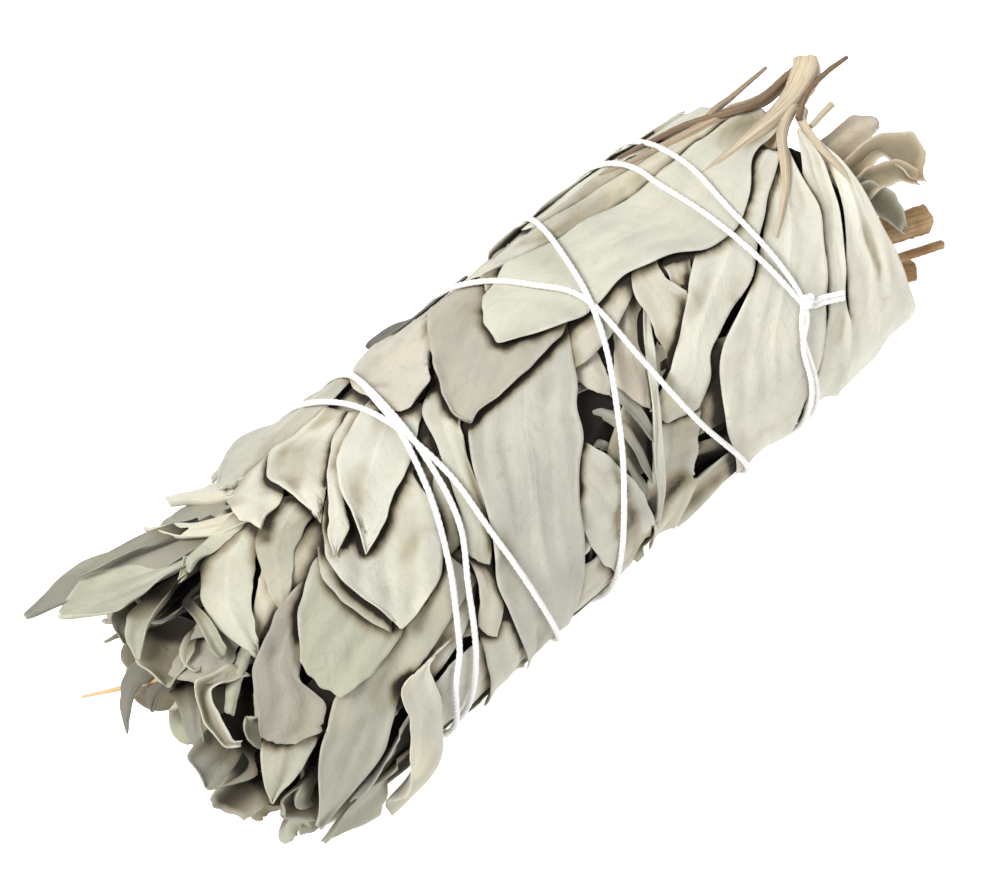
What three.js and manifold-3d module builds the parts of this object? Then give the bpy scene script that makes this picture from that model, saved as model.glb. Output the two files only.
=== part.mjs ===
// A bunch of dried white sage, lying on its side: eight leafy stems packed side by side, a short
// leafy shoot laid along the top, and one cotton thread wound down the bunch and back to a knot.
//
// Millimetres, +Z up, +X towards the cut stems. The bunch is laid out on a flat sheet and then
// rolled up: s runs along the bunch, w runs round it (0 at the top, positive towards -Y), and r is
// the distance from the bunch's axis. Every leaf is laid on the pile of leaves that lies below it.

import * as THREE from "three";
import { mergeVertices } from "three/addons/utils/BufferGeometryUtils.js";
import Module from "manifold-3d";

const wasm = await Module();
wasm.setup();

// ---- Driving dimensions ----

const BUNCH_RADIUS = 21; // the sheet is rolled up at this radius
const AXIS_HEIGHT = 21.75; // the bunch's axis, above the surface that it lies on
const AXIS_FALL = 0.008;
const CENTRE_S = -2; // the place along the bunch that lies over the origin
const CENTRE_Y = -0.25; // and the place across it
const CORE_RADIUS = 16.2; // packed inner leaves, which the outer leaves lie on
const CORE_LEAST = 7; // and how far they are squeezed in where many leaves lie on them
const CORE_MOST = 18.5;
const LEAF_TOPS = 20; // radius that the leaves are squeezed to by the thread
const SQUEEZES = 4; // rounds of squeezing until the outside is even
const CORE_TIP_S = -50; // where the packed leaves part into loose tips
const CORE_CUT_S = 46; // where the packed leaves are cut
const ROOT_RADIUS = 11; // how deep a leaf's stalk is sunk into the core
const ROOT_WIDTH = 2.4;
const STEM_COUNT = 8;
const WOOD_PLACE = 9; // a woody stem's distance from the bunch's axis
const WOOD_START = 18; // the inner end of a woody stem
const BLADE = 0.6; // thickness of a leaf
const GAP = 0.3; // clear space between pieces
const CHORD = 0.1; // room under the flat facets of a curved leaf
const THREAD_RADIUS = 0.55;
const THREAD_STEP = 5.4; // length of one facet of the thread
const THREAD_SPAN = 20; // facets in one stretch, short enough not to cross itself
const KNOT_RADIUS = 1.3;
const TRIM = 0.18; // clear space where one leaf gives way to another
const STRAW_RADIUS = 0.5;
const LEAF_COLOURS = [0xc2c1b1, 0xb5b7a4, 0xbcb8a8, 0xafb39e];
const CIRCUMFERENCE = 2 * Math.PI * BUNCH_RADIUS;
const SECTOR = CIRCUMFERENCE / STEM_COUNT; // one stem's share of the sheet

// ---- Small helpers ----

const lerp = (a, b, t) => a + (b - a) * t;
const clamp = (t, low, high) => Math.min(high, Math.max(low, t));
const ease = (t) => clamp(t, 0, 1) ** 2 * (3 - 2 * clamp(t, 0, 1));

// A repeatable stream of numbers from 0 to 1.
function seeded(seed) {
  let state = seed >>> 0;
  return () => {
    state = (Math.imul(state, 1664525) + 1013904223) >>> 0;
    return state / 4294967296;
  };
}

// The bunch is a little thicker at its tips, so its axis falls towards the cut end.
const axisHeight = (s) => AXIS_HEIGHT - AXIS_FALL * s;

// A place on the rolled-up sheet.
function toSpace(s, w, r) {
  const angle = w / BUNCH_RADIUS;
  return new THREE.Vector3(s - CENTRE_S, -r * Math.sin(angle) - CENTRE_Y, axisHeight(s) + r * Math.cos(angle));
}

// ---- The pile ----

// What the outer leaves lie on: full in the middle, splayed at the tips, drawn in at the cut end.
function packedRadius(s) {
  const splay = 1.2 * ease((-s - 34) / 22);
  const drawn = 3.4 * ease((s - 36) / 18);
  return CORE_RADIUS + splay - drawn;
}

class Pile {
  constructor(support) {
    this.cell = 1.5;
    this.start = -74;
    this.columns = 98;
    this.rows = Math.round(CIRCUMFERENCE / this.cell);
    this.row = CIRCUMFERENCE / this.rows;
    this.support = support ?? this.evenSupport();
    this.tops = this.support.slice();
  }

  evenSupport() {
    const support = new Float64Array(this.columns * this.rows);
    for (let c = 0; c < this.columns; c++)
      support.fill(packedRadius(this.start + c * this.cell), c * this.rows, (c + 1) * this.rows);
    return support;
  }

  // The support that evens this pile out: deeper where many leaves lie, higher where few do.
  squeezedSupport() {
    const even = this.evenSupport();
    const depth = LEAF_TOPS - CORE_RADIUS;
    let excess = this.tops.map((top, i) => top - even[i] - depth);
    for (let pass = 0; pass < 2; pass++) excess = this.blurred(excess, 2);
    return this.support.map((r, i) => clamp(r - excess[i], CORE_LEAST, CORE_MOST));
  }

  blurred(field, reach) {
    return field.map((_, i) => {
      const [column, row] = [Math.floor(i / this.rows), i % this.rows];
      let [sum, count] = [0, 0];
      for (let c = Math.max(0, column - reach); c <= Math.min(this.columns - 1, column + reach); c++)
        for (let k = row - reach; k <= row + reach; k++) {
          sum += field[c * this.rows + ((k + this.rows) % this.rows)];
          count++;
        }
      return sum / count;
    });
  }

  // Calls visit with the index of each cell within reach of a place.
  near(s, w, reach, visit) {
    const first = Math.max(0, Math.ceil((s - reach - this.start) / this.cell));
    const last = Math.min(this.columns - 1, Math.floor((s + reach - this.start) / this.cell));
    const low = Math.ceil((w - reach) / this.row);
    const high = Math.floor((w + reach) / this.row);
    for (let c = first; c <= last; c++)
      for (let k = low; k <= high; k++) visit(c * this.rows + (((k % this.rows) + this.rows) % this.rows));
  }

  // The least support under one stem's share of the sheet.
  supportUnder(s, w) {
    let least = Infinity;
    this.near(s, w, 5.5, (i) => (least = Math.min(least, this.support[i])));
    return least;
  }

  top(s, w, reach = 1.1) {
    let top = 0;
    this.near(s, w, reach, (i) => (top = Math.max(top, this.tops[i])));
    return top;
  }

  raise(s, w, top, reach = 0.8) {
    this.near(s, w, reach, (i) => (this.tops[i] = Math.max(this.tops[i], top)));
  }
}

// ---- Solids ----

// A closed body through rings of points. The two halves of a ring are split into triangles alike,
// so that the two faces of a thin waved blade stay parallel.
function loft(rings) {
  const size = rings[0].length;
  const half = size / 2;
  const faces = [];
  const quad = (a, b, c, d) => faces.push(a, b, c, a, c, d);
  for (let i = 0; i + 1 < rings.length; i++)
    for (let j = 0; j < size; j++) {
      const a = i * size + j;
      const b = i * size + ((j + 1) % size);
      if (j < half - 1) quad(a, b, b + size, a + size);
      else quad(b, b + size, a + size, a);
    }
  const last = (rings.length - 1) * size;
  for (let j = 0; j + 1 < half; j++) {
    quad(j, size - 1 - j, size - 2 - j, j + 1);
    quad(last + j, last + j + 1, last + size - 2 - j, last + size - 1 - j);
  }
  const geometry = new THREE.BufferGeometry();
  const positions = rings.flat().flatMap((p) => [p.x, p.y, p.z]);
  geometry.setAttribute("position", new THREE.Float32BufferAttribute(positions, 3));
  geometry.setIndex(faces);
  return solid(geometry);
}

function solid(geometry) {
  const merged = mergeVertices(geometry, 1e-4);
  const index = merged.index.array;
  const p = merged.attributes.position.array;
  let volume = 0;
  for (let i = 0; i < index.length; i += 3) {
    const [a, b, c] = [index[i] * 3, index[i + 1] * 3, index[i + 2] * 3];
    volume +=
      p[a] * (p[b + 1] * p[c + 2] - p[b + 2] * p[c + 1]) +
      p[a + 1] * (p[b + 2] * p[c] - p[b] * p[c + 2]) +
      p[a + 2] * (p[b] * p[c + 1] - p[b + 1] * p[c]);
  }
  if (volume < 0) for (let i = 0; i < index.length; i += 3) [index[i], index[i + 1]] = [index[i + 1], index[i]];
  return new wasm.Manifold(
    new wasm.Mesh({ numProp: 3, vertProperties: new Float32Array(p), triVerts: new Uint32Array(index) }),
  );
}

// The rings of a round rod of changing radius along a path, each with one flat side outwards.
function rodRings(path, radii, sides) {
  return path.map((p, i) => {
    const along = path[Math.min(path.length - 1, i + 1)].clone().sub(path[Math.max(0, i - 1)]).normalize();
    const axis = new THREE.Vector3(p.x, -CENTRE_Y, axisHeight(p.x + CENTRE_S));
    const out = p.clone().sub(axis);
    out.addScaledVector(along, -out.dot(along)).normalize();
    const side = along.clone().cross(out);
    return Array.from({ length: sides }, (_, k) => {
      const angle = ((k + 0.5) * 2 * Math.PI) / sides;
      const r = radii[i] / Math.cos(Math.PI / sides);
      const place = p.clone().addScaledVector(out, r * Math.cos(angle)).addScaledVector(side, r * Math.sin(angle));
      place.z = Math.max(0, place.z);
      return place;
    });
  });
}

const rod = (path, radii, sides) => loft(rodRings(path, radii, sides));

// The one body of a fused node: loose scraps are dropped, and a hollow sealed by fusing is filled.
function wholePiece(body) {
  const pieces = body.decompose();
  return pieces.reduce((best, piece) => (piece.volume() > best.volume() ? piece : best));
}

function meshOf(name, body, material) {
  const data = body.getMesh();
  const geometry = new THREE.BufferGeometry();
  const positions = new Float32Array(data.numVert * 3);
  for (let i = 0; i < data.numVert; i++)
    positions.set(data.vertProperties.subarray(i * data.numProp, i * data.numProp + 3), i * 3);
  geometry.setAttribute("position", new THREE.BufferAttribute(positions, 3));
  geometry.setIndex(new THREE.BufferAttribute(data.triVerts, 1));
  geometry.computeVertexNormals();
  const mesh = new THREE.Mesh(geometry, material);
  mesh.name = name;
  return mesh;
}

// ---- Leaves ----

// Half-width of a leaf as a share of its widest, from stalk (0) to tip (1).
function outline(u, blunt) {
  const body = Math.sin(Math.PI * (0.06 + 0.94 * u) ** 0.85) ** 0.75;
  const end = lerp(0.1, 0.8, blunt) * ease((u - 0.6) / 0.4);
  return Math.max(0.2 * (1 - u), body, end);
}

// The grid of places (s, w, r) of a leaf, row by row from stalk to tip, once it lies on the pile.
function layLeaf(pile, leaf) {
  const { from, by, to, width, lift = 0, blunt = 0, radius, wave = 0.1 } = leaf;
  const rows = clamp(Math.round(Math.hypot((to[0] - from[0]) / 9, (to[1] - from[1]) / 5.5)), 3, 7);
  const across = 2;
  const middle = radius ? (radius[0] + radius[1]) / 2 : pile.top(...by) + BLADE;
  const fan = BUNCH_RADIUS / middle;
  const bend = [0, 1].map((k) => 2 * by[k] - (from[k] + to[k]) / 2);
  const grid = [];
  for (let i = 0; i <= rows; i++) {
    const u = i / rows;
    const at = (k) => (1 - u) ** 2 * from[k] + 2 * u * (1 - u) * bend[k] + u * u * to[k];
    const along = (k) => (1 - u) * (bend[k] - from[k]) + u * (to[k] - bend[k]);
    const ds = along(0);
    const dw = along(1) / fan;
    const half = (width / 2) * outline(u, blunt) * (1 + 0.07 * Math.sin(19 * u + width));
    const side = half / Math.hypot(ds, dw);
    const row = [];
    for (let j = 0; j <= across; j++) {
      const v = (2 * j) / across - 1;
      row.push({ s: at(0) - v * side * dw, w: at(1) + v * side * ds * fan, u, v });
    }
    grid.push(row);
  }
  if (radius) for (const place of grid.flat()) place.r = lerp(radius[0], radius[1], place.u ** 1.5);
  else settle(pile, grid);
  if (!radius) raiseUnder(pile, grid);
  for (const place of grid.flat()) {
    place.r += lift * ease((place.u - 0.4) / 0.6) ** 1.4;
    place.r += wave * place.v ** 2 * (1 + Math.sin(11 * place.u + 2 * place.v + width));
    place.r = Math.min(place.r, roomBelow(place.s, place.w));
  }
  return grid;
}

// How far out a leaf's middle may lie before it would touch the surface below the bunch.
function roomBelow(s, w) {
  const down = -Math.cos(w / BUNCH_RADIUS);
  return down > 0.1 ? (axisHeight(s) - BLADE) / down : Infinity;
}

// Drops a grid on to the pile, then draws it taut over what it touches.
function settle(pile, grid) {
  const room = TRIM + CHORD + BLADE / 2;
  const last = grid.length - 1;
  const across = grid[0].length - 1;
  for (const place of grid.flat()) place.least = pile.top(place.s, place.w) + room;
  for (let i = 0; i < last; i++)
    for (let j = 0; j < across; j++) {
      const corners = [grid[i][j], grid[i + 1][j], grid[i][j + 1], grid[i + 1][j + 1]];
      const mean = (key) => corners.reduce((sum, place) => sum + place[key], 0) / 4;
      const short = pile.top(mean("s"), mean("w")) + room - mean("least");
      if (short > 0) for (const place of corners) place.least += 0.25 * short;
    }
  for (const place of grid.flat()) place.r = place.least;
  for (let pass = 0; pass < 4; pass++)
    for (let i = 0; i <= last; i++)
      for (let j = 0; j <= across; j++) {
        const around = [grid[i - 1]?.[j], grid[i + 1]?.[j], grid[i][j - 1], grid[i][j + 1]].filter(Boolean);
        const mean = around.reduce((sum, place) => sum + place.r, 0) / around.length;
        grid[i][j].r = Math.max(grid[i][j].least, lerp(grid[i][j].r, mean, 0.5));
      }
}

// Raises the pile to the top of a grid that now lies on it.
function raiseUnder(pile, grid) {
  const steps = 5;
  for (let i = 0; i + 1 < grid.length; i++)
    for (let j = 0; j + 1 < grid[0].length; j++)
      for (let a = 0; a <= steps; a++)
        for (let b = 0; b <= steps; b++) {
          const blend = (key) => {
            const near = lerp(grid[i][j][key], grid[i + 1][j][key], a / steps);
            const far = lerp(grid[i][j + 1][key], grid[i + 1][j + 1][key], a / steps);
            return lerp(near, far, b / steps);
          };
          pile.raise(blend("s"), blend("w"), blend("r") + BLADE / 2);
        }
}

// The solid of a leaf: its grid given thickness, with its stalk sunk into what it grows from.
function bladeSolid(grid, root, grow = 0) {
  const lines = grid.map((row) => row.map((place) => toSpace(place.s, place.w, place.r)));
  const across = grid[0].length - 1;
  const over = lines[0][across].clone().sub(lines[0][0]).normalize();
  const sunk = toSpace(root.s, root.w, root.r);
  const stalk = Array.from({ length: across + 1 }, (_, j) =>
    sunk.clone().addScaledVector(over, (j / across - 0.5) * (root.width ?? ROOT_WIDTH)),
  );
  lines.unshift(stalk);
  const half = BLADE / 2 + grow;
  const rings = lines.map((line, i) => {
    const before = lines[Math.max(0, i - 1)];
    const after = lines[Math.min(lines.length - 1, i + 1)];
    const outer = [];
    const inner = [];
    for (let j = 0; j <= across; j++) {
      const along = after[j].clone().sub(before[j]);
      const sideways = line[Math.min(across, j + 1)].clone().sub(line[Math.max(0, j - 1)]).normalize();
      const normal = along.cross(sideways).normalize();
      const edge = j === 0 ? -grow : j === across ? grow : 0;
      outer.push(line[j].clone().addScaledVector(normal, half).addScaledVector(sideways, edge));
      inner.unshift(line[j].clone().addScaledVector(normal, -half).addScaledVector(sideways, edge));
    }
    return [...outer, ...inner];
  });
  return loft(rings);
}

// ---- The stems ----

const stemOf = (w) => ((Math.round(w / SECTOR) % STEM_COUNT) + STEM_COUNT) % STEM_COUNT;

// Where a leaf's stalk ends inside the core of the stem that it grows from.
function rootOf(leaf) {
  const centre = Math.round(leaf.from[1] / SECTOR) * SECTOR;
  const r = leaf.radius ? leaf.radius[0] : ROOT_RADIUS;
  const slack = leaf.radius ? 0 : SECTOR * 0.3;
  const along = Math.sign(leaf.from[0] - leaf.to[0]);
  const behind = leaf.from[0] + along * (leaf.radius ? 7 : 3);
  const s = clamp(behind, CORE_TIP_S + 4, CORE_CUT_S - 4);
  return { s, w: centre + clamp(leaf.from[1] - centre, -slack, slack), r };
}

// One stem's share of the packed inner leaves: a wedge with its ends drawn in.
function coreSolid(pile, stem) {
  const places = [CORE_TIP_S, CORE_TIP_S + 3, -36, -25, -14, -3, 8, 19, 30, CORE_CUT_S - 3, CORE_CUT_S];
  const facets = 3;
  const rings = places.map((s) => {
    const end = s === CORE_TIP_S || s === CORE_CUT_S ? 0.8 : 1;
    const r = pile.supportUnder(s, stem * SECTOR) * end;
    const slit = ((GAP / 2) * BUNCH_RADIUS) / r;
    const low = (stem - 0.5) * SECTOR + slit;
    const high = (stem + 0.5) * SECTOR - slit;
    const rim = Array.from({ length: facets + 1 }, (_, k) => toSpace(s, lerp(low, high, k / facets), r));
    return [toSpace(s, stem * SECTOR - 4, 1.4), ...rim, toSpace(s, stem * SECTOR + 4, 1.4)];
  });
  return loft(rings);
}

// The cut end of each woody stem, from the top one round towards -Y: its place and its thickness.
const WOOD_ENDS = [
  { s: 52, w: 2, r: 10, radius: 1.2 },
  { s: 59, w: 23, r: 13, radius: 1.5 },
  { s: 63, w: 35, r: 14.5, radius: 0.8 },
  { s: 60, w: 43, r: 14, radius: 1.3 },
  { s: 53, w: 68, r: 11.5, radius: 1.3 },
  { s: 50, w: 84, r: 11, radius: 1.1 },
  { s: 52, w: 101, r: 11, radius: 1.3 },
  { s: 55, w: 117, r: 11, radius: 1.2 },
];

// A woody stem lies straight in its core, then leans towards where its cut end stands out.
function woodSolid(stem, extra = 0) {
  const end = WOOD_ENDS[stem];
  const centre = stem * SECTOR;
  const path = [
    toSpace(WOOD_START - extra, centre, WOOD_PLACE - 0.5),
    toSpace(34, centre, WOOD_PLACE),
    toSpace(CORE_CUT_S - 2, lerp(centre, end.w, 0.2), WOOD_PLACE + 0.4),
    toSpace(end.s + extra, end.w, end.r),
  ];
  return rod(path, [0.75, 1, 1, 1].map((share) => share * end.radius + extra), 10);
}

// ---- Where the leaves lie: places [s, w] of the stalk, the middle and the tip, then the width ----

const leaf = (from, by, to, width, more = {}) => ({ from, by, to, width, ...more });

// Loose inner tips, standing out of the packed leaves at one end in rings.
function innerTips() {
  const random = seeded(5);
  const leaves = [];
  for (const [ring, count] of [
    [5, 2],
    [9, 4],
    [13, 8],
  ])
    for (let k = 0; k < count; k++) {
      const w = ((k * STEM_COUNT) / count) * SECTOR;
      const tip = w + 5 * (random() - 0.5);
      const s = CORE_TIP_S - 9 - 5 * random();
      const radius = [ring, ring + 1 + 2.5 * random()];
      const width = 6 + 2 * random();
      leaves.push(leaf([CORE_TIP_S + 1, w], [(s + CORE_TIP_S) / 2, w + 1], [s, tip], width, { radius }));
    }
  return leaves;
}

// The first layer over the core, all round the bunch.
function underLayer() {
  const random = seeded(11);
  const leaves = [];
  for (const stem of [0, 1, 2])
    for (let k = 0; k < 3; k++) {
      const s = 38 - 24 * k - 5 * random();
      const w = stem * SECTOR + 8 * (random() - 0.5);
      const length = 27 + 6 * random();
      const drift = 10 * random();
      const by = [s - length / 2, w + drift / 2];
      leaves.push(leaf([s, w], by, [s - length, w + drift], 11 + 2 * random()));
    }
  return leaves;
}

// The outer leaves of the side away from the hand-laid ones.
function farLayer() {
  const random = seeded(23);
  const leaves = [];
  for (let row = 0; row < 5; row++)
    for (let k = 0; k < 4; k++) {
      const s = 44 - 17.5 * (4 - row) - 4 * random();
      const w = 48 + 14 * k + 5 * (random() - 0.5);
      const length = 28 + 6 * random();
      const drift = 4 + 8 * random();
      const lift = row === 0 ? 1.5 * random() : 0;
      const by = [s - length / 2, w + drift / 2];
      leaves.push(leaf([s, w], by, [s - length, w + drift], 13 + 2 * random(), { lift }));
    }
  return leaves;
}

// Cut and folded leaf ends between the woody stems.
const CUT_LEAVES = [
  leaf([45, 8], [51, 9], [57, 7], 7, { radius: [11, 15], blunt: 1 }),
  leaf([45, 16], [52, 18], [58, 15], 6, { radius: [12, 14], blunt: 1 }),
  leaf([45, 28], [50, 28], [55, 30], 6, { radius: [11, 12], blunt: 1 }),
  leaf([45, 115], [50, 115], [54, 116], 7, { radius: [11, 14], blunt: 1 }),
  leaf([45, 64], [49, 64], [52, 66], 7, { radius: [11, 12], blunt: 1 }),
];

// Outer tips and the leaves of the near side, from the lowest to the topmost.
const NEAR_LEAVES = [
  // loose tips at the end
  leaf([-38, -24], [-52, -26], [-67, -22], 7, { lift: 2.5 }),
  leaf([-36, -15], [-50, -15], [-62, -17], 6, { lift: 1 }),
  leaf([-40, -4], [-52, -8], [-65, -3], 6, { lift: 1 }),
  leaf([-42, -10], [-52, -9], [-59, -5], 6, { lift: 1 }),
  leaf([-42, 4], [-51, 9], [-61, 13], 8, { lift: 1 }),
  leaf([-40, 14], [-50, 18], [-61, 20], 8, { lift: 1 }),
  leaf([-34, -9], [-44, -7], [-52, 0.5], 8, { lift: 1 }),
  leaf([-38, 24], [-48, 28], [-57, 30], 8, { lift: 0.5 }),
  leaf([-36, 34], [-48, 38], [-58, 42], 9, { lift: 1 }),
  leaf([-34, -5], [-41, -1], [-47, 4.5], 7, { lift: 1 }),
  // behind the left-hand binding
  leaf([-24, -27], [-34, -27], [-45, -24], 9, { lift: 1.5 }),
  leaf([-22, 10], [-34, 20], [-49, 31], 12, { lift: 0.5 }),
  leaf([-40, 12], [-50, 15.5], [-58, 21], 8, { lift: 1 }),
  leaf([-36, 6], [-45, 10], [-53, 15], 10, { lift: 1, blunt: 0.9 }),
  leaf([-28, 22], [-37, 31], [-46, 40], 8, { lift: 1.5 }),
  leaf([-26, 0], [-37, 8], [-47, 13], 12, { blunt: 0.8, lift: 0.5 }),
  leaf([-14, -21], [-26, -20], [-36, -17], 9, { lift: 1 }),
  leaf([-16, -17], [-27, -13], [-37, -5], 10, { lift: 1.5 }),
  leaf([-12, 16], [-20, 26], [-26, 41], 9),
  leaf([-12, -3], [-25, 5], [-34, 10], 13, { blunt: 0.7 }),
  leaf([-16, -13], [-26, -8], [-34, 2], 7, { lift: 1 }),
  leaf([-12, -11], [-23, -5], [-31, 4.5], 9, { lift: 0.8 }),
  leaf([-8, -2], [-15, 7], [-20.5, 17], 7),
  leaf([-3, -6], [-11, 1], [-17, 11], 7),
  // the crowded middle
  leaf([24, 30], [12, 36], [2, 42], 10),
  leaf([12, 10], [7, 14], [1, 16], 7),
  leaf([10, 16], [5, 20], [0, 25], 7),
  leaf([8, 8], [1, 20], [-3, 34], 8),
  leaf([22, 8], [13, 20], [5, 36], 8),
  leaf([17, 1], [10, 15], [2, 36], 3.5),
  leaf([26, -1], [18, 4], [13, 13], 7),
  leaf([11, 0], [8, 8], [6, 17], 5),
  leaf([34, -25], [24, -22], [10, -22], 9),
  leaf([12, -26], [-4, -22], [-20, -17], 13),
  leaf([10, -16], [-3, -16], [-14, -11], 12, { blunt: 0.8 }),
  leaf([8, -3], [-6, 12], [-19, 38], 13),
  leaf([14, -6], [0, -6], [-11, -3], 13, { blunt: 0.8, lift: 0.4 }),
  leaf([34, -27], [41, -25], [48, -21], 9, { blunt: 0.6, lift: 2.5 }),
  leaf([40, 6], [33, 22], [29, 42], 9),
];

// Leaves of the shoot on top, fanning out from its stalk.
const SHOOT_LEAVES = [
  leaf([48, -8], [36, -14], [20, -18], 6),
  leaf([48, -6], [44, 12], [35, 38], 8),
  leaf([50, -4], [48, 14], [44, 40], 11),
  leaf([48, -5], [30, 4], [11, 17], 11),
  leaf([49, -4], [36, 10], [20, 30], 12),
  leaf([47, -8], [34, -11], [18, -13], 5),
  leaf([48, -7], [30, -7], [8, -3], 12, { lift: 0.5, blunt: 0.5 }),
];

const stemLeaves = () => [...innerTips(), ...CUT_LEAVES, ...underLayer(), ...farLayer(), ...NEAR_LEAVES];
const allLeaves = () => [...stemLeaves(), ...SHOOT_LEAVES];

// The shoot's stalk and the bare leaf-stalks beside it: places [s, w], then radius at each end.
const STALKS = [
  { places: [[59, -8], [52, -6.5], [44, -5]], radii: [1.9, 1.6, 1] },
  { places: [[63, -4.5], [57, -4], [50, -6]], radii: [0.45, 0.55, 0.7] },
  { places: [[56, -12.5], [52, -10], [46, -6.5]], radii: [0.45, 0.5, 0.6] },
  { places: [[58, -1.5], [54, -3], [48, -5.5]], radii: [0.5, 0.6, 0.7] },
];

const SHOOT_ROOT = { s: 51, w: -6.3, width: 1.6 }; // where the shoot's leaves leave its stalk

// A loose straw among the tips: places [s, w, r].
const STRAW_PLACES = [
  [-47, 8, 12],
  [-58, 1.5, 17.5],
  [-67, -4.5, 20.5],
];

// ---- The thread ----

// Where the thread runs, [s, w]. It leaves the knot, winds down the bunch and comes back to it.
const THREAD_ROUTE = [
  [34.5, 16.5], [35.5, 40], [36.5, 75], [37, 107], [36, 124], [34.5, 134], [34.5, 148.5],
  [31.5, 154], [31, 165], [27, 200], [20, 239], [14.5, 257], [10.5, 266.5], [4, 277.5], [-2, 289.5],
  [-5, 303], [-8, 335], [-13, 371], [-16, 390], [-18, 398], [-21.5, 406.5], [-25.5, 416], [-30, 425.5],
  [-33, 437], [-27, 470], [-15, 503], [-16.5, 520], [-20, 531], [-24, 539.5], [-28.5, 548.5],
  [-32.5, 561], [-30, 600], [-22, 635], [-18, 650], [-17, 663], [-17.5, 674.5], [-15.5, 692],
  [-8, 725], [3, 767], [8.5, 782], [12, 789.5], [12, 800.5], [14, 812], [21, 831], [27, 860],
  [31.5, 900], [32.5, 915], [33.5, 934.5], [34.5, 940.5], [37, 942], [40, 943.5],
];

// The thread's places (s, w, r) at even steps, drawn taut over the leaves.
function layThread(pile) {
  const route = new THREE.CatmullRomCurve3(THREAD_ROUTE.map(([s, w]) => new THREE.Vector3(s, w, 0)));
  const count = Math.round(route.getLength() / THREAD_STEP);
  const places = route.getSpacedPoints(count).map((p) => ({ s: p.x, w: p.y }));
  for (const place of places) place.least = pile.top(place.s, place.w, 1) + GAP + THREAD_RADIUS;
  for (let i = 0; i + 1 < places.length; i++) {
    const [a, b] = [places[i], places[i + 1]];
    const short = pile.top((a.s + b.s) / 2, (a.w + b.w) / 2, 1) + GAP + THREAD_RADIUS - (a.least + b.least) / 2;
    if (short > 0) for (const end of [a, b]) end.least += 0.6 * short;
  }
  for (const place of places) place.r = place.least;
  for (let pass = 0; pass < 6; pass++)
    for (let i = 1; i + 1 < places.length; i++) {
      const mean = (places[i - 1].r + places[i + 1].r) / 2;
      places[i].r = Math.max(places[i].least, lerp(places[i].r, mean, 0.7));
    }
  return places;
}

function threadSolid(places, grow = 0) {
  const path = places.map(({ s, w, r }) => toSpace(s, w, r));
  const rings = rodRings(path, path.map(() => THREAD_RADIUS + grow), 6);
  const spans = [];
  for (let first = 0; first + 1 < path.length; first += THREAD_SPAN)
    spans.push(loft(rings.slice(first, first + THREAD_SPAN + 1)));
  const knot = new THREE.IcosahedronGeometry(KNOT_RADIUS + grow, 1);
  const [s, w] = THREAD_ROUTE[0];
  knot.translate(...toSpace(s, w, places[0].r + 0.3).toArray());
  return wasm.Manifold.union([...spans, solid(knot.deleteAttribute("normal").deleteAttribute("uv"))]);
}

// ---- The whole bunch ----

// The shoot's stalks lie on the pile at one height; r is that height at each place along them.
function layStalks(pile) {
  const [s0, s1] = [STALKS[0].places[2][0], STALKS[0].places[0][0]];
  const height = (s) => lerp(pile.top(s0, -5, 2.5), pile.top(s1, -8, 2.5), (s - s0) / (s1 - s0)) + GAP + 1.4;
  const heights = new Map(STALKS.flatMap(({ places }) => places.map(([s]) => [s, height(s)])));
  heights.set(SHOOT_ROOT.s, height(SHOOT_ROOT.s));
  const solids = (grow) =>
    STALKS.map(({ places, radii }) =>
      rod(
        places.map(([s, w]) => toSpace(s, w, heights.get(s))),
        radii.map((radius) => radius + grow),
        8,
      ),
    );
  for (const { places, radii } of STALKS)
    for (let i = 0; i + 1 < places.length; i++)
      for (let t = 0; t <= 1; t += 0.2) {
        const [s, w, radius] = [0, 1].map((k) => lerp(places[i][k], places[i + 1][k], t)).concat(radii[i]);
        pile.raise(s, w, lerp(heights.get(places[i][0]), heights.get(places[i + 1][0]), t) + radius, radius + 0.5);
      }
  return { solids, root: { ...SHOOT_ROOT, r: heights.get(SHOOT_ROOT.s) } };
}

const touching = (a, b) => a.min.every((_, k) => a.min[k] < b.max[k] && b.min[k] < a.max[k]);

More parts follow.
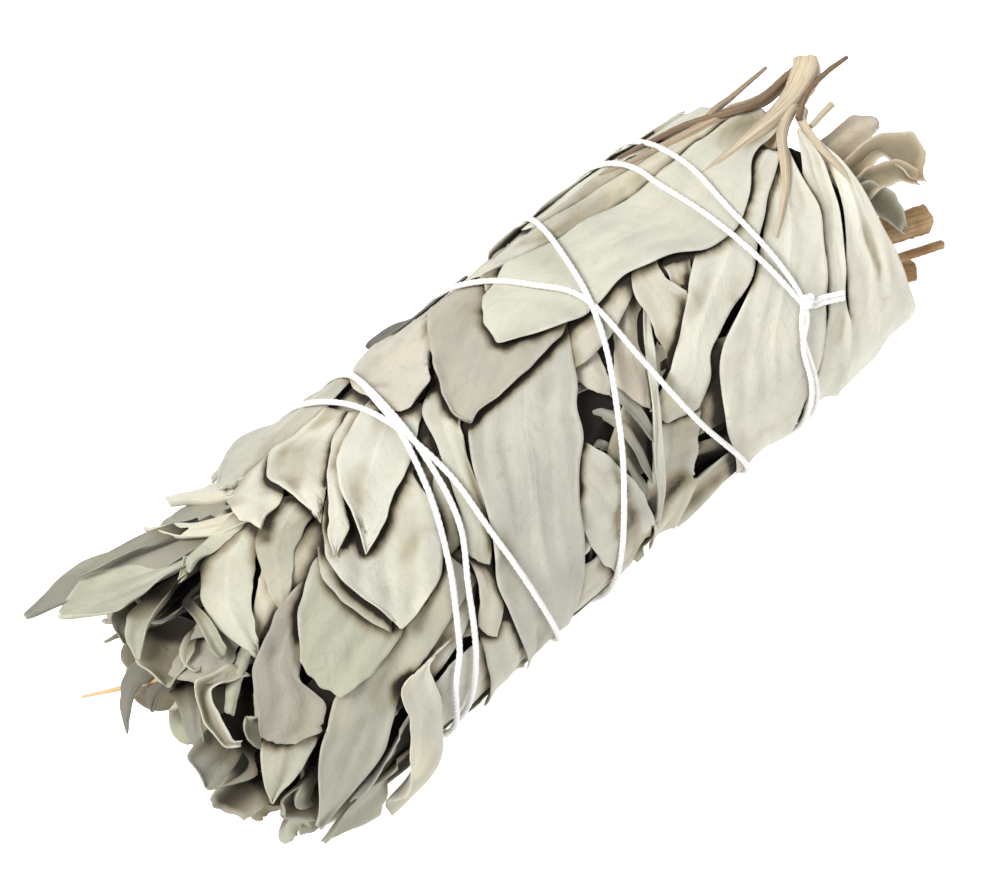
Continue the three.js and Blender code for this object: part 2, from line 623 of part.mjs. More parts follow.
function build() {
  let pile = new Pile();
  for (let squeeze = 0; squeeze < SQUEEZES; squeeze++) {
    for (const item of allLeaves()) layLeaf(pile, item);
    pile = new Pile(pile.squeezedSupport());
  }
  const pieces = []; // leaves and stalks in the order in which they were laid
  const add = (node, body, fat) => pieces.push({ node, body, fat, box: fat.boundingBox() });
  const addLeaf = (node, item, root) => {
    const grid = layLeaf(pile, item);
    add(node, bladeSolid(grid, root), bladeSolid(grid, root, TRIM));
  };
  for (const item of stemLeaves()) {
    const root = rootOf(item);
    addLeaf(`leafy_stem_${stemOf(root.w) + 1}`, item, root);
  }
  const stalks = layStalks(pile);
  const [bare, fat] = [stalks.solids(0), stalks.solids(GAP)];
  bare.forEach((body, i) => add("top_shoot", body, fat[i]));
  for (const item of SHOOT_LEAVES) addLeaf("top_shoot", item, stalks.root);

  const straw = STRAW_PLACES.map((place) => toSpace(...place));
  const strawRadii = straw.map(() => STRAW_RADIUS);
  add("straw", rod(straw, strawRadii, 6), rod(straw, strawRadii.map((r) => r + GAP), 6));

  const strand = layThread(pile);
  add("binding_thread", threadSolid(strand), threadSolid(strand, 0.2));

  for (let stem = 0; stem < STEM_COUNT; stem++) {
    add(`woody_stem_${stem + 1}`, woodSolid(stem), woodSolid(stem, GAP));
  }

  // A piece gives way to every later one of another node; a core gives way to all of them.
  const bodies = new Map();
  const giveWay = (node, body, others) => {
    const box = body.boundingBox();
    const near = others.filter((other) => other.node !== node && touching(box, other.box));
    return near.length ? body.subtract(wasm.Manifold.union(near.map((other) => other.fat))) : body;
  };
  for (let stem = 0; stem < STEM_COUNT; stem++) {
    const node = `leafy_stem_${stem + 1}`;
    bodies.set(node, [giveWay(node, coreSolid(pile, stem), pieces)]);
  }
  pieces.forEach((piece, i) => {
    if (!bodies.has(piece.node)) bodies.set(piece.node, []);
    bodies.get(piece.node).push(giveWay(piece.node, piece.body, pieces.slice(i + 1)));
  });

  const group = new THREE.Group();
  group.name = "sage_bunch";
  for (const [name, parts] of bodies) {
    const whole = wholePiece(wasm.Manifold.union(parts).simplify(0.02));
    group.add(meshOf(name, whole, finishOf(name)));
  }
  return group;
}

function finishOf(name) {
  const finish = (color, roughness) => new THREE.MeshStandardMaterial({ color, roughness, metalness: 0 });
  if (name === "binding_thread") return finish(0xf3f2ee, 0.9);
  if (name === "straw") return finish(0xc08a45, 0.7);
  if (name === "top_shoot") return finish(0xc9c6b8, 0.9);
  if (name.startsWith("woody")) return finish(0x8a6236, 0.8);
  return finish(LEAF_COLOURS[(Number(name.at(-1)) - 1) % LEAF_COLOURS.length], 0.9);
}

export default build();
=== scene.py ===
"""A bunch of dried white sage, tied with cotton thread: leaves, shoot, woody stems and thread."""

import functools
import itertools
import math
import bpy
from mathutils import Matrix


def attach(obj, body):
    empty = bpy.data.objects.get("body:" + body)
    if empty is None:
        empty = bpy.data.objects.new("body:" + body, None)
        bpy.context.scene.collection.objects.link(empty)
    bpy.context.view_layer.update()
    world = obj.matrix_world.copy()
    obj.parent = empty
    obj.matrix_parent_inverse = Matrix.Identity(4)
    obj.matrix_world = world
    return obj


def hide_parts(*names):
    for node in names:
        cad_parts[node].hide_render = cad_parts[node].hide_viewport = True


bl_info = {
    "name": "Sage Bunch",
    "version": (1, 0, 0),
    "blender": (4, 5, 0),
    "location": "View3D > Sidebar > Sage Bunch",
    "description": "Builds a thread-tied bunch of dried white sage leaf by leaf",
    "category": "Add Mesh",
}

import types

import bpy
import numpy as np
from bpy.props import FloatProperty, FloatVectorProperty, IntProperty, PointerProperty
from mathutils import Vector

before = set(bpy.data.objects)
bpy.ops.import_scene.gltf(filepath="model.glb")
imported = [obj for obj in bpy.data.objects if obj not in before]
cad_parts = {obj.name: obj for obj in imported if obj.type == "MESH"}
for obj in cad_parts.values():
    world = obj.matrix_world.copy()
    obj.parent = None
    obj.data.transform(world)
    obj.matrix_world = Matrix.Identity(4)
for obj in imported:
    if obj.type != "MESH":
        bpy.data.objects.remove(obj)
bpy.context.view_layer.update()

MM = 0.001

# ---- The rolled-up sheet: s runs along the bunch, w round it, r out from its axis, all in mm ----

BUNCH_RADIUS = 21.0
AXIS_HEIGHT = 21.75
AXIS_FALL = 0.008  # the axis sinks by this share of s
CENTRE_S = -2.0
CENTRE_Y = -0.25
CIRCUMFERENCE = 2 * math.pi * BUNCH_RADIUS
STEM_COUNT = 8
SECTOR = CIRCUMFERENCE / STEM_COUNT
CORE_RADIUS = 18.2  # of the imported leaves
CORE_LEAST = 9.0  # the least and the most that it may get once the pile is squeezed
CORE_MOST = 20.2
LEAF_TOPS = 21.1  # of the outer leaves
SQUEEZES = 3  # how many times the pile is laid and squeezed before the last time
DEEP_RISE = 0.7  # added to the radius of leaves that stand in the bunch
STALK_END = 49.5  # beyond this s the stalks stay as high as the pile is here
FAR_OFF = 99.0  # stands for no limit

# ---- Packed leaves and thread, in metres and radians ----

GOLDEN_ANGLE = 2.39996
FULL_TURN = 6.2832
PACKED_TIPS = {
    "Seed": 3, "Root": -0.030, "Tip": -0.0515, "Spread": 0.005, "Point": 0.93, "Outer radius": 0.0145,
}
PACKED_CUTS = {
    "Seed": 8, "Root": 0.028, "Tip": 0.0475, "Spread": 0.003, "Point": 0.05, "Outer radius": 0.0155,
}

# ---- The stage, in metres; a light is its name, its place, its size and its power in watts ----

FLOOR_REACH = 3.0
SKY_STRENGTH = 0.33
LIGHTS = (("key", (-0.36, 0.16, 0.66), 0.3, 6.6), ("fill", (0.35, -0.45, 0.6), 0.6, 2.5))
LIGHT_AIM = (0, 0, 0.02)
CAMERA_PLACE = (-0.11143, -0.11391, 0.34637)
CAMERA_AIM = (0.00026, 0.00296, 0.02213)
SENSOR_WIDTH = 36  # mm


def lerp(a, b, t):
    return a + (b - a) * t


def ease(t):
    t = np.clip(t, 0, 1)
    return t * t * (3 - 2 * t)


def axis_height(s):
    return AXIS_HEIGHT - AXIS_FALL * s


def to_space(s, w, r):
    """Places in mm, as an array whose last axis is x, y, z."""
    s, w, r = np.broadcast_arrays(*(np.asarray(a, float) for a in (s, w, r)))
    angle = w / BUNCH_RADIUS
    z = axis_height(s) + r * np.cos(angle)
    return np.stack([s - CENTRE_S, -r * np.sin(angle) - CENTRE_Y, z], -1)


def seeded(seed):
    """The same stream of numbers from 0 to 1 that lays out the solid leaves."""
    state = seed

    def following():
        nonlocal state
        state = (state * 1664525 + 1013904223) % 4294967296
        return state / 4294967296

    return following


# ---- Where the leaves lie, as places (s, w) ----
#
# What else a leaf's plan may say:
# radius: r at its stalk and at its tip, for a leaf that stands in the bunch instead of lying on the pile
# cup, fold, twist: how it bends across; curl: how much each side edge turns up, in mm
# creases: the places across it and the heights in mm of its ridges; lift: how far its tip rises, in mm
# blunt: 1 for a cut end; tint: its colour, from TINTS; seed: its own stream of random numbers
# dark: how far painted shade reaches from its stalk, where it goes into the bunch; inside: how much
# painted shade darkens it with depth
# hollow: how dark the painted shade is all over it, within a paler rim; gap: how dark the painted shade
# under or beside others gets


def leaf(start, by, to, width, **more):
    """A leaf given by its stalk, a place in its middle, its tip and its width."""
    return {"from": start, "by": by, "to": to, "width": width, **more}


def edged(left, right, **more):
    """A leaf given by its two edges, from its stalk to its tip."""
    start = [(a + b) / 2 for a, b in zip(left[0], right[0])]
    return {"left": left, "right": right, "from": start, **more}


def stalk(*knots, lift=0, dark=0):
    """A stalk of the shoot through places (s, w, radius)."""
    return {"knots": knots, "lift": lift, "dark": dark}


def inner_tips():
    """Loose inner tips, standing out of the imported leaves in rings."""
    random = seeded(5)
    leaves = []
    for ring, count in ((5, 2), (9, 4), (13, 8), (16.5, 11)):
        for k in range(count):
            w = k * STEM_COUNT / count * SECTOR
            tip = w + 5 * (random() - 0.5)
            s = -54 - 4 * random()
            radius = (ring, ring + 1 + 2.5 * random())
            width = 6.5 + 2.5 * random()
            shape = {"cup": 0.9 * (random() - 0.35), "twist": 50 * (random() - 0.5)}
            by = ((s - 50) / 2, w + 1)
            leaves.append(leaf((-42, w), by, (s, tip), width, radius=radius, tint="shade", **shape))
    return leaves


def cut_leaves():
    """Cut and folded leaf ends between the woody stems."""
    return [
        leaf((45, 115), (50, 115), (54, 116), 7, radius=(11, 14), blunt=1, cup=0.3),
        leaf((45, 64), (49, 64), (52, 66), 7, radius=(11, 12), blunt=1, cup=-0.3),
        leaf(
            (45, 14), (51, 15), (56, 16), 8,
            radius=(11, 11.5), blunt=1, cup=-0.3, tint="brown", dark=0.6, inside=0,
        ),
        edged(
            [(46, 4), (54, 3), (58, 4), (58, 8), (57, 14)], [(46, 14), (52, 14), (54.5, 18), (56, 20)],
            radius=(12.8, 13.4), cup=-0.3, creases=((-0.4, 0.7), (0.3, -0.7)), tint="stub", dark=0.25,
            inside=0,
        ),
        edged(
            [(46, 0), (54, -1), (60.5, -0.5), (62, 3)], [(46, 7), (55, 6), (59, 6), (61.5, 5.5)],
            radius=(14.2, 14.8), cup=-0.5, creases=((-0.3, 0.7), (0.4, -0.6)), tint="stub", dark=0.25,
            inside=0,
        ),
        edged(
            [(48, 6), (57, 5.5), (60.5, 6.5), (63.5, 9.5), (64, 14)],
            [(48, 11), (55, 10), (58, 9.5), (59.5, 15), (61.5, 18)],
            radius=(14.8, 15.4), cup=0.3, hollow=0.5, creases=((-0.4, 0.8), (0.1, -0.8), (0.6, 0.7)),
            tint="stub", dark=0.25, inside=0,
        ),
        edged(
            [(48, 9), (55, 9), (59, 11), (61, 15)], [(48, 13), (55, 13), (57.5, 14), (60, 17)],
            radius=(15.8, 16.6), cup=0.4, hollow=0.5, tint="stub", dark=0.25, inside=0,
        ),
        edged(
            [(48, 9), (54, 10.5), (56, 15), (56.3, 19), (55.5, 21.5)],
            [(48, 16), (52, 15.5), (52.8, 18), (54.3, 21.5)],
            radius=(15.8, 16.6), cup=0.3, hollow=0.5, tint="shade", dark=0.3, inside=0,
        ),
    ]


def under_leaves():
    """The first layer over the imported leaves."""
    random = seeded(11)
    leaves = []
    for stem in range(STEM_COUNT):
        for k in range(4):
            s = 47 - 21.5 * k - 5 * random()
            w = stem * SECTOR + 8 * (random() - 0.5)
            length = 27 + 6 * random()
            drift = 10 * random()
            by = (s - length / 2, w + drift / 2)
            leaves.append(leaf((s, w), by, (s - length, w + drift), 13 + 2 * random()))
    return leaves


def far_leaves():
    """The outer leaves of the far side and the underside."""
    random = seeded(23)
    leaves = []
    for row in range(5):
        for k in range(5):
            s = 49 - 18.5 * (4 - row) - 4 * random()
            w = 43 + 14.5 * k + 5 * (random() - 0.5)
            length = 24 + 6 * random()
            drift = 4 + 8 * random()
            lift = 1.5 * random() if row == 0 else 0
            by = (s - length / 2, w + drift / 2)
            leaves.append(leaf((s, w), by, (s - length, w + drift), 13 + 2 * random(), lift=lift))
    return leaves


NEAR_LEAVES = [
    # loose tips at the end, the deep ones first
    leaf((-46, -2), (-52, -1), (-56.5, 1.5), 7, radius=(15, 16), cup=0.4, tint="dark"),
    leaf((-48, 22), (-55, 22), (-59, 18), 8, radius=(14, 16), cup=0.7, tint="dark"),
    leaf((-46, 8), (-53, 7), (-58, 9), 8, radius=(15, 16), cup=0.5, hollow=0.5, tint="dark"),
    leaf((-46, -12), (-54, -12), (-59, -8), 7, radius=(16, 18), cup=0.5, tint="dark"),
    edged(
        [(-56, -5), (-60.5, -5.5), (-62.5, -4.5), (-65, -1), (-66.5, 2.5)],
        [(-56, 0), (-59, -1.5), (-62, -1.5), (-64, 0), (-66.5, 2.5)],
        radius=(18, 19), cup=-0.3, tint="gloom", dark=0.2,
    ),
    edged(
        [(-57, -2.5), (-60.5, -1.5), (-62, 0), (-62.5, 1.8)],
        [(-56, 1), (-59.5, 1), (-61, 1.2), (-62.4, 2.2)],
        radius=(17, 17.8), cup=-0.3, tint="gloom", dark=0.2,
    ),
    edged(
        [(-52, 1), (-59, 0.5), (-60, 4.5), (-61, 7.5), (-61.5, 10)],
        [(-50, 7), (-56, 4), (-58.5, 6.5), (-60.5, 9.5)],
        radius=(17, 18.5), cup=-0.5, tint="dark",
    ),
    edged(
        [(-52, -7), (-58, -6.5), (-60, -3.5), (-59.5, 0.5)],
        [(-50, 0), (-53, -0.5), (-56, 1), (-59, 1.5)],
        radius=(17.5, 18.5), cup=0.5, hollow=0.55, tint="shade", dark=0.7,
    ),
    edged(
        [(-48, -4), (-52.5, -3), (-55.5, -1.5), (-59, 0.5)], [(-46, 3), (-50, 3), (-52, 4.5), (-54.5, 6)],
        radius=(18.8, 19.6), cup=-0.2, tint="brown", dark=0.45,
    ),
    edged(
        [(-52, 8), (-59.5, 8.5), (-63, 9.5), (-63.5, 14)],
        [(-50, 15), (-56.5, 15), (-57.5, 17.5), (-61, 16), (-63.5, 14.5)],
        radius=(17, 18.5), cup=0.2, tint="dark",
    ),
    edged(
        [(-56, 14), (-61, 14.5), (-64.5, 15.5)], [(-54, 21), (-59.5, 21), (-63, 20.5)],
        radius=(17, 18), cup=0.6, hollow=0.65, tint="brown",
    ),
    edged(
        [(-48, 22), (-54, 22), (-57.5, 22), (-58, 25)], [(-46, 30), (-51, 30), (-53.5, 30.5), (-58, 26)],
        radius=(17, 18.5), cup=0.5, hollow=0.6, tint="brown",
    ),
    edged(
        [(-52, 4), (-57, 3.2), (-58.2, 5.5), (-59.2, 7.5), (-59.2, 11.5), (-57.5, 12.5)],
        [(-51, 7), (-56, 5), (-57.2, 7), (-57.8, 9.5), (-58, 11.5), (-57, 12)],
        radius=(19, 20), cup=1.4, hollow=0.4, tint="yellow", dark=0.1,
    ),
    edged(
        [(-47, 2.5), (-50.5, 3.5), (-53.8, 5.7), (-56.5, 8.3)],
        [(-46, 4.5), (-50, 5.5), (-53.2, 7.3), (-56, 9.3)],
        radius=(19.5, 20.5), cup=-1.3, tint="shade", dark=0.3,
    ),
    edged(
        [(-46, -11.5), (-51.5, -10.5), (-57, -9.3), (-59, -7), (-60, -3.5)],
        [(-44, -9), (-49, -9.5), (-52, -7.5), (-56, -5.5), (-59.5, -3)],
        radius=(18.8, 20.5), cup=0.5, tint="green",
    ),
    edged(
        [(-46, -8), (-51, -6.5), (-51.5, -3), (-53, 2), (-53, 3.5)],
        [(-45, -6), (-50, -6), (-50.3, -2), (-51.5, 3)],
        radius=(18.8, 20.5), fold=0.5, tint="shade",
    ),
    edged(
        [(-40, -17), (-47, -20), (-51, -23), (-55, -23.5), (-60, -20.5), (-64.5, -17.5), (-65.5, -16.8)],
        [(-40, -10), (-47, -12), (-52, -15), (-57, -17), (-61, -16.8), (-64.5, -16), (-65.5, -16)],
        radius=(20, 24.5), cup=-0.2, twist=-40, tint="horn", dark=0.35,
    ),
    edged(
        [(-42, -13), (-47.5, -13.5), (-51.5, -17), (-55.5, -20), (-62, -16.5)],
        [(-41, -8), (-46.5, -10.5), (-52.5, -9.5), (-57.5, -8), (-60.5, -11), (-62.5, -15)],
        radius=(19.2, 22.2), cup=0.3, tint="green", dark=0.4,
    ),
    leaf((-42, -14), (-50, -16.5), (-57.5, -18.5), 3, radius=(21.5, 24), cup=0.4, tint="dark", dark=0.5),
    edged(
        [(-28, -14), (-37, -19), (-40, -21.5), (-43, -22.5), (-45, -21)],
        [(-28, -9), (-38, -10.5), (-42, -12.5), (-44.5, -15), (-45.5, -19)],
        radius=(18.8, 20.9), cup=-0.2, twist=-25, tint="dark", dark=0.1,
    ),
    edged(
        [(-29, -14), (-34, -17), (-38, -20), (-41.5, -23.5)],
        [(-29, -10), (-33.5, -13), (-38, -16), (-42, -22)],
        radius=(18.8, 22.2), cup=0.3, twist=-20, tint="yellow", dark=0.1,
    ),
    edged(
        [(-29, -13), (-38, -12), (-42.5, -13.5), (-45, -16.5), (-46.5, -19.5)],
        [(-29, -8), (-38, -8.6), (-42.5, -10), (-45.5, -13.5), (-47, -19)],
        radius=(18.8, 22.4), cup=0.35, twist=-15, tint="yellow", dark=0.15,
    ),
    edged(
        [(-34, -10), (-40, -10), (-46, -8.7), (-49.2, -5), (-50.5, -0.5), (-50.5, 2.5), (-49.5, 6)],
        [(-34, -5), (-39, -6), (-41.5, -3.5), (-44.5, -0.5), (-47, 3), (-49, 6)],
        cup=-0.3, lift=0.8, tint="mint", curl=(0.2, 1.0),
    ),
    edged(
        [(-38, -12), (-43, -10.8), (-46.5, -9.8), (-48.3, -7.5)],
        [(-37, -9), (-43, -8.5), (-46, -8.2), (-48, -7)],
        lift=1.6, cup=-0.5, tint="mint",
    ),
    edged(
        [(-34, -9), (-38, -7), (-40.3, -5), (-42, -1.5), (-43.3, 1.5), (-43.7, 4.3)],
        [(-28, -4), (-34, -3), (-37.5, -1), (-40.5, 2), (-43.3, 4.3)],
        cup=-0.25, lift=0.5, tint="shade",
    ),
    leaf((-36, 34), (-46, 37), (-54, 41), 9, lift=1, cup=0.3, twist=-25, tint="shade"),
    edged(
        [(-44, 12), (-52, 13), (-55.5, 14), (-58.5, 19), (-58.5, 21)],
        [(-42, 20), (-46, 18.5), (-49, 18), (-55, 20.5), (-58.5, 21)],
        lift=0.3, tint="olive",
    ),
    edged(
        [(-36, 2), (-44, 3), (-46.5, 4.5), (-51, 6.5), (-55.5, 13)],
        [(-34, 8), (-44, 8.5), (-47.5, 11), (-46.5, 15), (-49, 17.5), (-53, 16.5)],
        lift=0.4, tint="brown",
    ),
    # behind the left-hand binding
    leaf((-8, 2), (-15, 6), (-25, 12), 9, tint="grey"),
    leaf((-20, -27), (-30, -28), (-40, -26), 9, lift=0.8, twist=15, tint="cream"),
    leaf((-16, -24), (-26, -24), (-36, -22), 7, lift=0.8, twist=15, tint="grey"),
    edged(
        [(-24, 9), (-36, 13), (-45, 15.5), (-50, 19), (-54, 26), (-55, 30)],
        [(-22, 16), (-30, 18.5), (-37.5, 21), (-44, 27), (-50, 30), (-55, 31)],
        lift=0.6, tint="olive",
    ),
    edged(
        [(-33, 20), (-38.5, 20), (-39, 25), (-42, 33), (-44, 40)],
        [(-29, 20), (-33.5, 20.5), (-34, 27), (-37, 36), (-41, 41), (-45, 42)],
        lift=1.8, cup=0.4, tint="cream",
    ),
    edged(
        [(-26, -1), (-33, 1), (-37, 1.5), (-43, 5.5), (-46.5, 9.5)],
        [(-22, 8), (-29, 11), (-34, 15), (-40, 16), (-45.5, 15.5)],
        lift=0.6, tint="green",
    ),
    leaf((-14, -21), (-26, -20), (-37, -17), 9, lift=1, twist=15, tint="grey"),
    edged(
        [(-28, -17), (-33, -17), (-37, -15.5), (-39, -10), (-38.5, -5.5)],
        [(-27, -13), (-31, -12.5), (-32.5, -8.5), (-35, -7), (-38.5, -5)],
        cup=-0.35, lift=1.4, tint="cream",
    ),
    edged(
        [(-20, -16), (-25, -15.5), (-29, -16), (-32, -13), (-32.5, -8), (-32.5, -2)],
        [(-18, -10), (-22, -10), (-26, -7.5), (-30, -3.5), (-32.5, -1.5)],
        lift=0.9, tint="pale",
    ),
    edged(
        [(-9, 12), (-16, 15), (-22.5, 18), (-25.5, 22), (-26.5, 32), (-27, 41)],
        [(-6, 18), (-14, 20), (-18, 22), (-19, 28), (-19.5, 41)],
        tint="grey",
    ),
    edged(
        [(-12, 5), (-18, 10), (-21.5, 13), (-22.5, 17), (-25.5, 21.5)],
        [(-10, 9), (-15, 12), (-18, 14), (-19.5, 17), (-21, 21.5), (-24, 25)],
        tint="pink",
    ),
    edged(
        [(-35, 0.5), (-37.1, 3.5), (-37.4, 7), (-36.4, 11), (-35, 14)],
        [(-33.5, 1), (-34.5, 4), (-34.5, 7), (-33.5, 10.5), (-34, 13)],
        tint="mint", seed=901, curl=(0.5, 0), creases=((0, 0.1),),
    ),
    edged(
        [(-20, -8), (-26, -7), (-32, -2), (-35.5, 2), (-36, 6), (-35, 10.5), (-34, 13)],
        [(-17, -1), (-20, 1), (-20.5, 5), (-22, 9), (-25.5, 12.5), (-28.5, 13.5), (-31.5, 14.5),
         (-34, 14)],
        lift=0.6, tint="pale",
    ),
    edged(
        [(-19, -12), (-24.5, -9.5), (-29, -4), (-32, -0.5), (-34, 1.5), (-34.5, 3)],
        [(-17, -9), (-21, -8), (-26.5, -4.5), (-28.5, -2), (-30.5, 1.5), (-34.5, 3)],
        lift=0.5, tint="pale",
    ),
    edged(
        [(-15, -12), (-21.5, -9), (-25.5, -6.5), (-28, -3), (-29.5, 1), (-31.5, 5)],
        [(-12, -5), (-17, -2), (-19.5, 0), (-23.5, 1.5), (-29, 4.5), (-31.5, 5)],
        lift=0.8, tint="pale",
    ),
    edged(
        [(-6, -9), (-11, -6), (-13.5, -4.5), (-16, 2), (-18.5, 7.5), (-21.5, 13)],
        [(-4, -2), (-9, -1.5), (-11.5, 0.5), (-14, 5), (-16, 9.5), (-18, 14), (-20, 16)],
        tint="grey",
    ),
    # the crowded middle, from its deepest leaves up
    leaf((24, 34), (12, 38), (2, 44), 8, tint="grey"),
    edged(
        [(-5, 12.5), (-1, 12.5), (2.5, 14), (4, 16.5), (5, 19.5), (5.5, 25), (6, 30)],
        [(-5, 15), (-1, 14.5), (2.2, 15.8), (3.3, 17.8), (3.8, 21), (3.8, 25.5), (4.5, 31)],
        radius=(16.2, 16.6), cup=-0.4, tint="shade", inside=0.25, dark=0.4, creases=((0, 0.3),),
    ),
    edged(
        [(-5, 7.5), (-1, 7.5), (2.5, 8.3), (5, 9.5), (6.5, 12.5), (7, 16), (7, 22), (6.5, 26)],
        [(-5, 10.5), (-1, 10), (1.8, 10.3), (3.9, 11.4), (5, 13.8), (5.5, 17.5), (5.3, 22.5), (5.8, 26)],
        radius=(16.8, 17.2), cup=-0.4, tint="brown", inside=0.2, dark=0.4, creases=((0, 0.3),),
    ),
    edged(
        [(-5, 4.5), (1.5, 4.8), (4.5, 5.3), (6.5, 6), (7.9, 8.5), (8.8, 11), (9.2, 14.5), (8.8, 19)],
        [(-5, 6.5), (1, 6.4), (3.7, 6.7), (5.5, 7.4), (6.6, 9.5), (7.2, 12), (7.6, 15), (7.8, 19)],
        radius=(17.4, 17.8), cup=-0.4, tint="steel", inside=0.2, dark=0.4, seed=904, creases=((0, 0.3),),
    ),
    edged(
        [(17, -1), (14.5, 0.5), (12, 2), (10, 4), (8.6, 6), (7.6, 8)],
        [(20, 0), (18.5, 2), (17, 4.5), (14.5, 8.5), (12.5, 11), (11, 13.5), (9.5, 16)],
        radius=(17.8, 18.5), cup=-0.4, tint="rust", inside=0.3, dark=0.4, hollow=0.15,
    ),
    edged(
        [(14, -3), (12.5, -1.5), (9.5, -0.5), (6, 2.5), (4, 5.5)],
        [(14, -1), (12, 1), (9.5, 2.5), (8.5, 6), (8, 8), (6, 10)],
        radius=(18.2, 18.7), cup=-0.4, tint="pink", inside=0.4, dark=0.35,
    ),
    edged(
        [(-2, 16), (-5.5, 20), (-6.5, 25), (-7.5, 31)], [(0, 18), (-3.5, 22), (-4, 27), (-7, 32)],
        radius=(17.6, 18), cup=0.4, tint="shade",
    ),
    edged(
        [(19.5, 2), (16.5, 5), (15, 7), (13, 10), (11.5, 12.5), (10.8, 14.6)],
        [(21, 4), (18.5, 8.5), (17, 11), (14.5, 12.6), (12, 13.8), (11, 14.8)],
        radius=(17, 17.4), tint="pink", inside=0.2, dark=0.25,
    ),
    edged(
        [(-3.5, 10), (-6.5, 14), (-7, 19), (-7, 24), (-5, 31), (-3, 38)],
        [(-1, 11), (0.5, 13.5), (1.5, 16), (2.5, 19.5), (3.5, 24), (4, 30.5), (4.5, 39)],
        tint="pale", inside=0.15, curl=(0.2, 1.2),
    ),
    edged(
        [(23.5, 0), (22.3, 2.5), (22.3, 5.5)], [(27.5, 0), (26, 3), (24, 6)],
        tint="rust", inside=0.2,
    ),
    edged(
        [(10.8, 14.5), (9.6, 18), (8.4, 21.5), (7.2, 25), (5.4, 30), (4, 36), (3.4, 41)],
        [(17, 15), (16.5, 18), (15.8, 22), (14, 29), (11, 35), (8, 41)],
        tint="cream", inside=0.15,
    ),
    edged(
        [(21, -2), (18.5, 0), (17, 2), (16.5, 5), (16, 7.5), (16, 10), (15, 12)],
        [(23, 0), (22, 1.5), (21.5, 3), (22.5, 6), (21, 9), (17.5, 11.5), (15.5, 13)],
        tint="pink", inside=0.1,
    ),
    edged(
        [(18.5, 2.5), (15, 7), (12, 11.7), (10, 15.7), (8, 19.7), (6.5, 23.7), (5.3, 30), (4.6, 38)],
        [(19.3, 2.9), (15.8, 7.4), (12.8, 12.1), (10.8, 16.1), (8.9, 20), (7.4, 24), (6.2, 30.2),
         (5.4, 38)],
        radius=(17.9, 18.4), tint="pale", inside=0, dark=0.2,
    ),
    leaf((34, -25), (24, -22), (10, -22), 9, tint="grey"),
    edged(
        [(10, -27), (-5.5, -26), (-11, -24), (-15.5, -17), (-17, -8)],
        [(12, -19), (-2.5, -14), (-7, -10), (-10, -5.5), (-13.5, -5.5)],
        lift=0.4, tint="pink",
    ),
    # painted shade: tinted dark as the shaded underside of an edge that curls up at the top silhouette
    edged(
        [(9, -27.5), (4, -28), (-1, -28.5), (-5.5, -28), (-8, -25.5)],
        [(9, -25), (4, -24), (-1, -24), (-5.5, -24.3), (-7.5, -25)],
        twist=-40, tint="gloom", seed=903, curl=(0.5, 0), creases=((0, 0.1),),
    ),
    edged(
        [(-4, -3), (-11, 1), (-14, 5), (-16, 9.5), (-17.5, 13.5), (-20.5, 18.5), (-21, 25),
         (-20.5, 32), (-20, 40)],
        [(8, -1), (6, 2), (4, 5.5), (1.5, 7.5), (0, 11), (-3, 14), (-5.5, 17), (-7, 20), (-8.5, 24.5),
         (-12, 36), (-12, 42)],
        creases=((0.12, 0.9), (-0.45, 0.5), (0.6, 0.4)), tint="cool",
    ),
    edged(
        [(8, -21), (0, -20), (-4.5, -13), (-8, -8), (-10.5, -4), (-11.5, -1), (-10.5, 1)],
        [(12, -3), (6.5, 0), (-1.5, 0.5), (-6.5, 1), (-10, 1.2)],
        lift=0.4, tint="tan",
    ),
    edged(
        [(27, -19), (34, -19.5), (40, -20), (44, -19.5)],
        [(29, -14), (37, -12.5), (43, -11.5), (46, -13)],
        lift=2.2, cup=-0.1, curl=(0.1, 0.1), tint="pale",
    ),
    leaf((40, 14), (34, 26), (29, 42), 9, tint="pale"),
]

